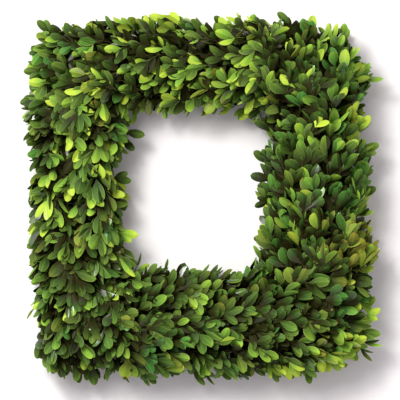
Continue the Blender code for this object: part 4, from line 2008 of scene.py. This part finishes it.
    def lines(self, finish: Finish, share: Socket, across: Socket) -> Socket:
        """Gives the pale lines of the midrib and the stalk, and the painted highlight along the rim.

        Args:
            finish: The material in the making.
            share: Share of the leaf's length.
            across: Share of its half width.

        Returns:
            How much of the pale colour shows.
        """
        rib = finish.math("SUBTRACT", 1.0, finish.rise(across, *self.rib_rise))
        stalk = finish.math("SUBTRACT", 1.0, finish.rise(share, *self.stalk_rise))
        # The rim's pale band is a painted highlight where the leaf's edge catches light
        rim = finish.times(finish.rise(across, *self.rim_rise), self.rim_share)
        rib, stalk = finish.times(rib, self.rib_share), finish.times(stalk, self.stalk_share)
        return finish.math("MAXIMUM", finish.math("MAXIMUM", rib, stalk), rim)


@dataclass(frozen=True)
class StemFinish:
    """Woody boxwood stems: thin dull bark, grey-brown on old wood and green near the leaves.

    Attributes:
        bark: Colour of the old wood.
        young: Colour of the ends that carry leaves.
        streak: Colour of the lighter streaks.
        grain_size: Width of a streak.
        streak_rise: Noise where a streak begins and is complete.
        age_rise: Share of the usual thickness where green bark ends and brown is complete.
        roughness: Roughness of the bark.
        specular: Its specular level, low on dull bark.
    """

    bark: str = "#2A1F13"
    young: str = "#454A20"
    streak: str = "#44331F"
    grain_size: float = 0.0011
    streak_rise: Rise = (0.45, 0.7)
    age_rise: Rise = (0.42, 0.75)
    roughness: float = 0.82
    specular: float = 0.12

    def build(self) -> bpy.types.Material:
        """Builds the material, greener where the stem's gauge is thin.

        Returns:
            The material.
        """
        finish = Finish("boxwood_bark")
        streaks = finish.noise(self.grain_size, detail=4.0)
        streaked = finish.rise(streaks, *self.streak_rise)
        bark = finish.blend(streaked, linear(self.bark), linear(self.streak))
        age = finish.rise(finish.read_one("gauge"), *self.age_rise)
        finish.feed("Base Color", finish.blend(age, linear(self.young), bark))
        finish.hold("Roughness", self.roughness)
        finish.hold("Specular IOR Level", self.specular)
        finish.relief(streaks, strength=0.4, depth=0.0002)
        return finish.material


@dataclass(frozen=True)
class WireFinish:
    """Steel wire dipped in green enamel: an even dark coat with slow runs and a soft shine.

    Attributes:
        name: The material's name.
        enamel: Colour of the full coat.
        thin_coat: Colour where the coat is thin.
        roughness: Roughness of the full coat.
        thin_roughness: What is added to it where the coat is thin.
        run_size: Width of a run.
        thin_rise: Noise where the thin coat begins and is complete.
    """

    name: str
    enamel: str
    thin_coat: str
    roughness: float
    thin_roughness: float = 0.2
    run_size: float = 0.004
    thin_rise: Rise = (0.55, 0.72)

    def build(self) -> bpy.types.Material:
        """Builds the material.

        Returns:
            The material.
        """
        finish = Finish(self.name)
        runs = finish.noise(self.run_size, detail=3.0)
        thin = finish.rise(runs, *self.thin_rise)
        finish.feed("Base Color", finish.blend(thin, linear(self.enamel), linear(self.thin_coat)))
        rough = finish.math("MULTIPLY_ADD", thin, self.thin_roughness, self.roughness)
        finish.feed("Roughness", rough)
        finish.relief(runs, strength=0.3, depth=0.0002)
        return finish.material


class Lamp(Enum):
    """The studio's lamps, whose light is as strong near them as far from them."""

    SOFT_BOX = (2.4, 40.0, 39.0, 130.0, 1.6)
    SPOT = (1.3, 14.0, 39.0, 129.0, 1.6)

    def __init__(
        self, power: float, softness: float, tilt: float, bearing: float, distance: float
    ) -> None:
        """Keeps the lamp's values.

        Args:
            power: Light on the wreath, in W/m2.
            softness: Size as seen from there, in degrees.
            tilt: Angle off straight up, in degrees.
            bearing: Angle round from +X, in degrees.
            distance: Distance from the wreath.
        """
        self.power = power
        self.radius = distance * math.tan(math.radians(softness / 2))
        self.tilt = math.radians(tilt)
        self.bearing = math.radians(bearing)
        self.distance = distance

    def build(self) -> None:
        """Adds the lamp."""
        bulb = bpy.data.lights.new(self.name.lower(), "POINT")
        bulb.energy = self.power * 4 * math.pi
        bulb.shadow_soft_size = self.radius
        bulb.color = DAYLIGHT
        bulb.use_nodes = True
        falloff = add_node(bulb.node_tree, "ShaderNodeLightFalloff", {"Strength": 1.0})
        emission = bulb.node_tree.nodes["Emission"]
        bulb.node_tree.links.new(falloff.outputs["Constant"], emission.inputs["Strength"])
        lamp = bpy.data.objects.new(self.name.lower(), bulb)
        level = Vector((math.cos(self.bearing), math.sin(self.bearing), 0.0)) * math.sin(self.tilt)
        lamp.location = (level + UP * math.cos(self.tilt)) * self.distance
        lamp.visible_camera = False
        bpy.context.scene.collection.objects.link(lamp)


@dataclass(frozen=True)
class Studio:
    """A pale floor, lamps from the upper left and a long lens straight above.

    Attributes:
        floor_size: Width of the floor, which ends out of every view.
        floor_colour: Colour of the floor, matt white board.
        floor_roughness: Its roughness.
        camera_distance: From the lens to the plane that the photograph's scale holds for.
        plane_height: Height of that plane, where most of the outline's leaves are.
        sensor: Width of the camera's sensor, in millimetres.
        room_power: Strength of the light from all round.
        room_colour: Its colour, which keeps the shadows neutral beside so much green.
    """

    floor_size: float = 40.0
    floor_colour: str = "#FAF8F7"
    floor_roughness: float = 0.9
    camera_distance: float = 2.4
    plane_height: float = 0.040
    sensor: float = 36.0
    room_power: float = 0.52
    room_colour: tuple[float, ...] = (1.0, 0.94, 1.0, 1.0)

    def build(self) -> None:
        """Builds the floor, the lights and the camera."""
        self.add_floor()
        for lamp in Lamp:
            lamp.build()
        self.add_room()
        self.add_camera()

    def add_floor(self) -> None:
        """Adds the floor and stages it."""
        bm = bmesh.new()
        bmesh.ops.create_grid(bm, x_segments=1, y_segments=1, size=self.floor_size / 2)
        mesh = bpy.data.meshes.new("floor")
        bm.to_mesh(mesh)
        bm.free()
        finish = Finish("white_board")
        finish.hold("Base Color", linear(self.floor_colour))
        finish.hold("Roughness", self.floor_roughness)
        mesh.materials.append(finish.material)
        floor = bpy.data.objects.new("floor", mesh)
        bpy.context.scene.collection.objects.link(floor)
        floor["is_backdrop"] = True

    def add_room(self) -> None:
        """Adds the even light of the room."""
        world = bpy.data.worlds.new("room")
        world.use_nodes = True
        room = world.node_tree.nodes["Background"]
        room.inputs["Color"].default_value = self.room_colour
        room.inputs["Strength"].default_value = self.room_power
        bpy.context.scene.world = world
        bpy.context.scene.view_settings.view_transform = "Standard"

    def add_camera(self) -> None:
        """Adds the camera straight above the photograph's middle."""
        middle = PHOTO_PIXELS / 2
        lens = bpy.data.cameras.new("camera")
        lens.sensor_width = self.sensor
        lens.lens = self.sensor * self.camera_distance / (PHOTO_PIXELS * PIXEL_SIZE)
        lens.clip_start, lens.clip_end = 0.1, 20.0
        camera = bpy.data.objects.new("camera", lens)
        camera.location = at_pixel(middle, middle, self.plane_height + self.camera_distance)
        bpy.context.scene.collection.objects.link(camera)
        bpy.context.scene.camera = camera


def read_runs() -> tuple[Run, ...]:
    """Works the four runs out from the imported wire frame, whose rings lie round their lines.

    Returns:
        The runs in the order of the sides.
    """
    low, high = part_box("wire_frame")
    inset = BACK_RING_ACROSS + RING_BOX_RADIUS
    left, bottom = low.x + inset, low.y + inset
    right, top = high.x - inset, high.y - inset
    places = ((left, bottom), (right, bottom), (right, top), (left, top))
    corners = [Vector((x, y, 0.0)) for x, y in places]
    runs = []
    for index, side in enumerate(Side):
        start = corners[index]
        way = corners[(index + 1) % 4] - start
        runs.append(Run(side, start, way.normalized(), way.length))
    return tuple(runs)


def swells() -> tuple[Swell, ...]:
    """Names where the photograph's outline swells or draws in, side by side from the left."""
    return (
        Swell(24, 110, 0.013, 0.28),
        Swell(27, 155, 0.010, 0.10),
        Swell(29, 176, 0.011, -0.08),
        Swell(30, 300, 0.014, -0.07),
        Swell(33, 333, 0.015, -0.30),
        Swell(122, 177, 0.013, -0.44),
        Swell(124, 221, 0.014, -0.18),
        Swell(134, 270, 0.010, 0.14),
        Swell(127, 248, 0.010, -0.24),
        Swell(78, 20, 0.018, -0.22),
        Swell(163, 16, 0.012, 0.10),
        Swell(208, 18, 0.012, -0.12),
        Swell(268, 20, 0.012, -0.12),
        Swell(322, 27, 0.013, -0.38),
        Swell(356, 37, 0.013, -0.32),
        Swell(363, 46, 0.013, -0.18),
        Swell(242, 115, 0.016, 0.10),
        Swell(369, 104, 0.011, -0.12),
        Swell(366, 131, 0.011, -0.22),
        Swell(366, 203, 0.011, -0.13),
        Swell(374, 247, 0.014, 0.15),
        Swell(372, 280, 0.016, 0.07),
        Swell(264, 135, 0.012, -0.28),
        Swell(263, 168, 0.011, -0.14),
        Swell(264, 207, 0.013, -0.16),
        Swell(50, 368, 0.014, 0.06),
        Swell(72, 370, 0.012, 0.10),
        Swell(115, 374, 0.020, 0.05),
        Swell(178, 271, 0.013, 0.11),
        Swell(155, 266, 0.012, 0.06),
        Swell(192, 369, 0.011, -0.11),
        Swell(245, 377, 0.014, 0.06),
        Swell(262, 372, 0.010, -0.10),
        Swell(286, 374, 0.010, 0.07),
        Swell(336, 368, 0.018, -0.08),
        Swell(366, 372, 0.012, -0.12),
    )


def sun_patches() -> tuple[SunPatch, ...]:
    """Names where the photograph's leaves are lighter or darker than the rest: painted light and
    shade.
    """
    return (
        SunPatch(52, 53, 0.018, -0.66),
        SunPatch(150, 34, 0.022, 0.50),
        SunPatch(169, 48, 0.019, -0.48),
        SunPatch(106, 52, 0.020, -0.34),
        SunPatch(226, 62, 0.025, -0.42),
        SunPatch(246, 28, 0.013, 0.50),
        SunPatch(276, 42, 0.027, -0.46),
        SunPatch(210, 94, 0.028, 0.62),
        SunPatch(346, 58, 0.028, 0.30),
        SunPatch(272, 150, 0.028, -0.40),
        SunPatch(346, 126, 0.026, 0.40),
        SunPatch(298, 100, 0.025, -0.24),
        SunPatch(314, 190, 0.025, -0.48),
        SunPatch(280, 218, 0.026, 0.46),
        SunPatch(366, 219, 0.018, 0.40),
        SunPatch(320, 250, 0.022, -0.32),
        SunPatch(364, 244, 0.028, 0.30, 0.9),
        SunPatch(300, 308, 0.052, -0.56),
        SunPatch(242, 340, 0.021, 0.36),
        SunPatch(298, 372, 0.020, 0.30),
        SunPatch(356, 350, 0.039, 0.86),
        SunPatch(184, 262, 0.026, -0.40),
        SunPatch(166, 346, 0.018, -0.26),
        SunPatch(90, 340, 0.044, -0.20),
        SunPatch(32, 260, 0.020, -0.24),
        SunPatch(40, 192, 0.015, 0.40),
        SunPatch(48, 348, 0.020, -0.38),
        SunPatch(84, 374, 0.018, 0.34),
        SunPatch(48, 168, 0.010, -0.30),
        SunPatch(112, 184, 0.024, 0.42),
        SunPatch(92, 130, 0.030, 0.46),
        SunPatch(55, 83, 0.027, 0.56),
        SunPatch(70, 150, 0.015, 0.34),
        SunPatch(62, 114, 0.026, -0.52),
        SunPatch(137, 104, 0.022, -0.36),
    )


def stray_sprigs() -> tuple[Stray, ...]:
    """Lists the sprigs that stand out of the outline in the photograph, side by side."""
    bottom, right, top, left = Side.BOTTOM, Side.RIGHT, Side.TOP, Side.LEFT
    return (
        Stray(right, (384, 77.8), (363, 79), 0.040, 0.66, 35, (67, 80)),
        Stray(right, (379, 144), (360, 151), 0.036, 0.58, 10, (-26,)),
        Stray(right, (369.5, 115.5), (356, 131), 0.046, 0.86, 20, ()),
        Stray(right, (376.5, 187.5), (357, 195), 0.034, 0.25, 15),
        Stray(right, (374, 210.6), (356, 215), 0.036, 0.60, 40),
        Stray(right, (375.7, 297), (364, 309), 0.030, 0.66, 20),
        Stray(right, (359, 45.5), (347.5, 62), 0.046, 0.74, 55, (14,)),
        Stray(right, (311.5, 20.5), (309, 39), 0.046, 0.44, 20, (), 0.9),
        Stray(right, (328, 27), (318, 42), 0.046, 0.84, 48, (-30,)),
        Stray(right, (336, 24), (331, 42), 0.050, 0.80, 30),
        Stray(right, (344, 24), (341, 43), 0.044, 0.55, 20, (-18,)),
        Stray(right, (254, 151), (269, 163.5), 0.030, 0.26, 10, (-26,)),
        Stray(right, (251, 175.5), (271.5, 180), 0.036, 0.08, 6, (-50,)),
        Stray(right, (254.8, 206.6), (269, 202), 0.034, 0.28, 10, (-38,)),
        Stray(right, (254.2, 238), (269, 243), 0.026, 0.06, 8, (-24, -42)),
        Stray(right, (253.3, 246), (261.5, 261), 0.036, 0.52, 38, ()),
        Stray(bottom, (384, 345), (363, 342.5), 0.034, 0.50, 60, (16,)),
        Stray(bottom, (380.8, 334), (362, 331), 0.042, 0.44, 10, (-24,)),
        Stray(bottom, (380, 309), (366, 315.5), 0.040, 0.84, 15, (-44,)),
        Stray(bottom, (344, 366), (333, 351), 0.046, 0.92, 15, (28,)),
        Stray(bottom, (373, 361), (361, 349), 0.030, 0.48, 45),
        Stray(bottom, (310.5, 384.5), (308.5, 369), 0.028, 0.56, 5, ()),
        Stray(bottom, (279, 383), (273, 368), 0.026, 0.48, 25, (20,)),
        Stray(bottom, (295, 379), (283, 368), 0.026, 0.46, 25),
        Stray(bottom, (150.4, 388), (141, 374), 0.024, 0.60, 42, ()),
        Stray(bottom, (156, 385), (146, 373), 0.026, 0.40, 20, ()),
        Stray(bottom, (205, 386), (192.5, 369), 0.026, 0.54, 30, ()),
        Stray(bottom, (215, 385), (202.5, 368.5), 0.028, 0.44, 64, ()),
        Stray(bottom, (130, 384), (121, 370), 0.026, 0.60, 60, ()),
        Stray(bottom, (140.5, 252), (136, 268), 0.040, 0.20, 62, ()),
        Stray(bottom, (167.3, 258.8), (164, 271), 0.040, 0.22, 45, ()),
        Stray(bottom, (209, 263.6), (200, 275), 0.040, 0.42, 52, ()),
        Stray(left, (94.4, 385.6), (90, 364), 0.028, 0.22, 10, (20, -24)),
        Stray(left, (78.6, 384), (77, 366), 0.028, 0.34, 15, ()),
        Stray(left, (61, 378), (60, 361), 0.030, 0.42, 10, (28,)),
        Stray(left, (52, 372), (46, 351), 0.034, 0.58, 10, (-18,)),
        Stray(left, (36.5, 360), (42, 339), 0.034, 0.34, 15, ()),
        Stray(left, (26.5, 320.7), (34, 308), 0.030, 0.70, 60, ()),
        Stray(left, (20.5, 103), (40, 99), 0.040, 0.34, 12, (24, -16)),
        Stray(left, (23.5, 141), (38, 127), 0.034, 0.26, 50, (10,)),
        Stray(left, (144.4, 134.6), (124.5, 131), 0.030, 0.10, 10, ()),
        Stray(left, (133.6, 150), (122, 137), 0.030, 0.06, 14, ()),
        Stray(left, (131, 181), (113, 178), 0.036, 0.30, 10),
        Stray(left, (137.5, 235.2), (118.5, 232), 0.042, 0.92, 5, (-30,)),
        Stray(left, (136.7, 276), (120, 257.5), 0.058, 0.78, 40, ()),
        Stray(top, (23.4, 71.5), (42, 71), 0.040, 0.36, 10),
        Stray(top, (30.6, 46), (45, 60), 0.040, 0.20, 20, (-14,)),
        Stray(top, (35, 37.7), (51, 39), 0.042, 0.90, 62, ()),
        Stray(top, (36.7, 20.4), (50, 33), 0.036, 0.48, 10, (-24,)),
        Stray(top, (214, 15.4), (226, 28.5), 0.034, 0.24, 15, ()),
        Stray(top, (235.5, 12.2), (243, 30), 0.038, 0.92, 58, ()),
        Stray(top, (254, 13.3), (250.5, 32), 0.036, 0.52, 5, ()),
        Stray(top, (276.4, 11.2), (290, 24), 0.038, 0.40, 20, (), 0.8),
        Stray(top, (302.5, 18), (306, 37), 0.042, 0.46, 10, (-20,), 0.9),
        Stray(top, (187, 118), (193, 106), 0.040, 0.56, 70, ()),
        Stray(top, (166, 118.7), (164, 104), 0.036, 0.50, 25, ()),
    )


def main() -> None:
    """Builds the wreath's pieces and the studio, and reports each piece."""
    logging.basicConfig(level=logging.INFO, format="%(message)s")
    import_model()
    low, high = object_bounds()
    runs = read_runs()
    envelope = Envelope(Vector(low), Vector(high), runs, swells())
    foliage = Foliage(runs, envelope, sun_patches(), stray_sprigs())
    tree = FoliageTree(LeafFinish().build(), StemFinish().build())
    bunches = [Bunch(run, lane, n) for run in runs for lane in Lane for n in range(lane.stations)]
    leaves, triangles = 0, 0
    for bunch in bunches:
        piece, count = foliage.build(tree, bunch)
        leaves += count
        triangles += sum(len(face.vertices) - 2 for face in piece.data.polygons)
        LOG.info("%s: %d leaves", piece.name, count)
    tree.clear()
    LOG.info("%d leaves, %d triangles in all", leaves, triangles)
    enamel = WireFinish("green_enamelled_wire", "#12211A", "#2A3A30", 0.38).build()
    frame = WireFrame(runs).build(WireTree(enamel))
    LOG.info("%s: %d faces", frame.name, len(frame.data.polygons))
    thin = WireFinish("green_florist_wire", "#1B3522", "#35503A", 0.45).build()
    thin_tree = WireTree(thin)
    for run in runs:
        piece = BindingWire(run).build(thin_tree)
        LOG.info("%s: %d faces", piece.name, len(piece.data.polygons))
    Studio().build()


if __name__ == "__main__":
    main()
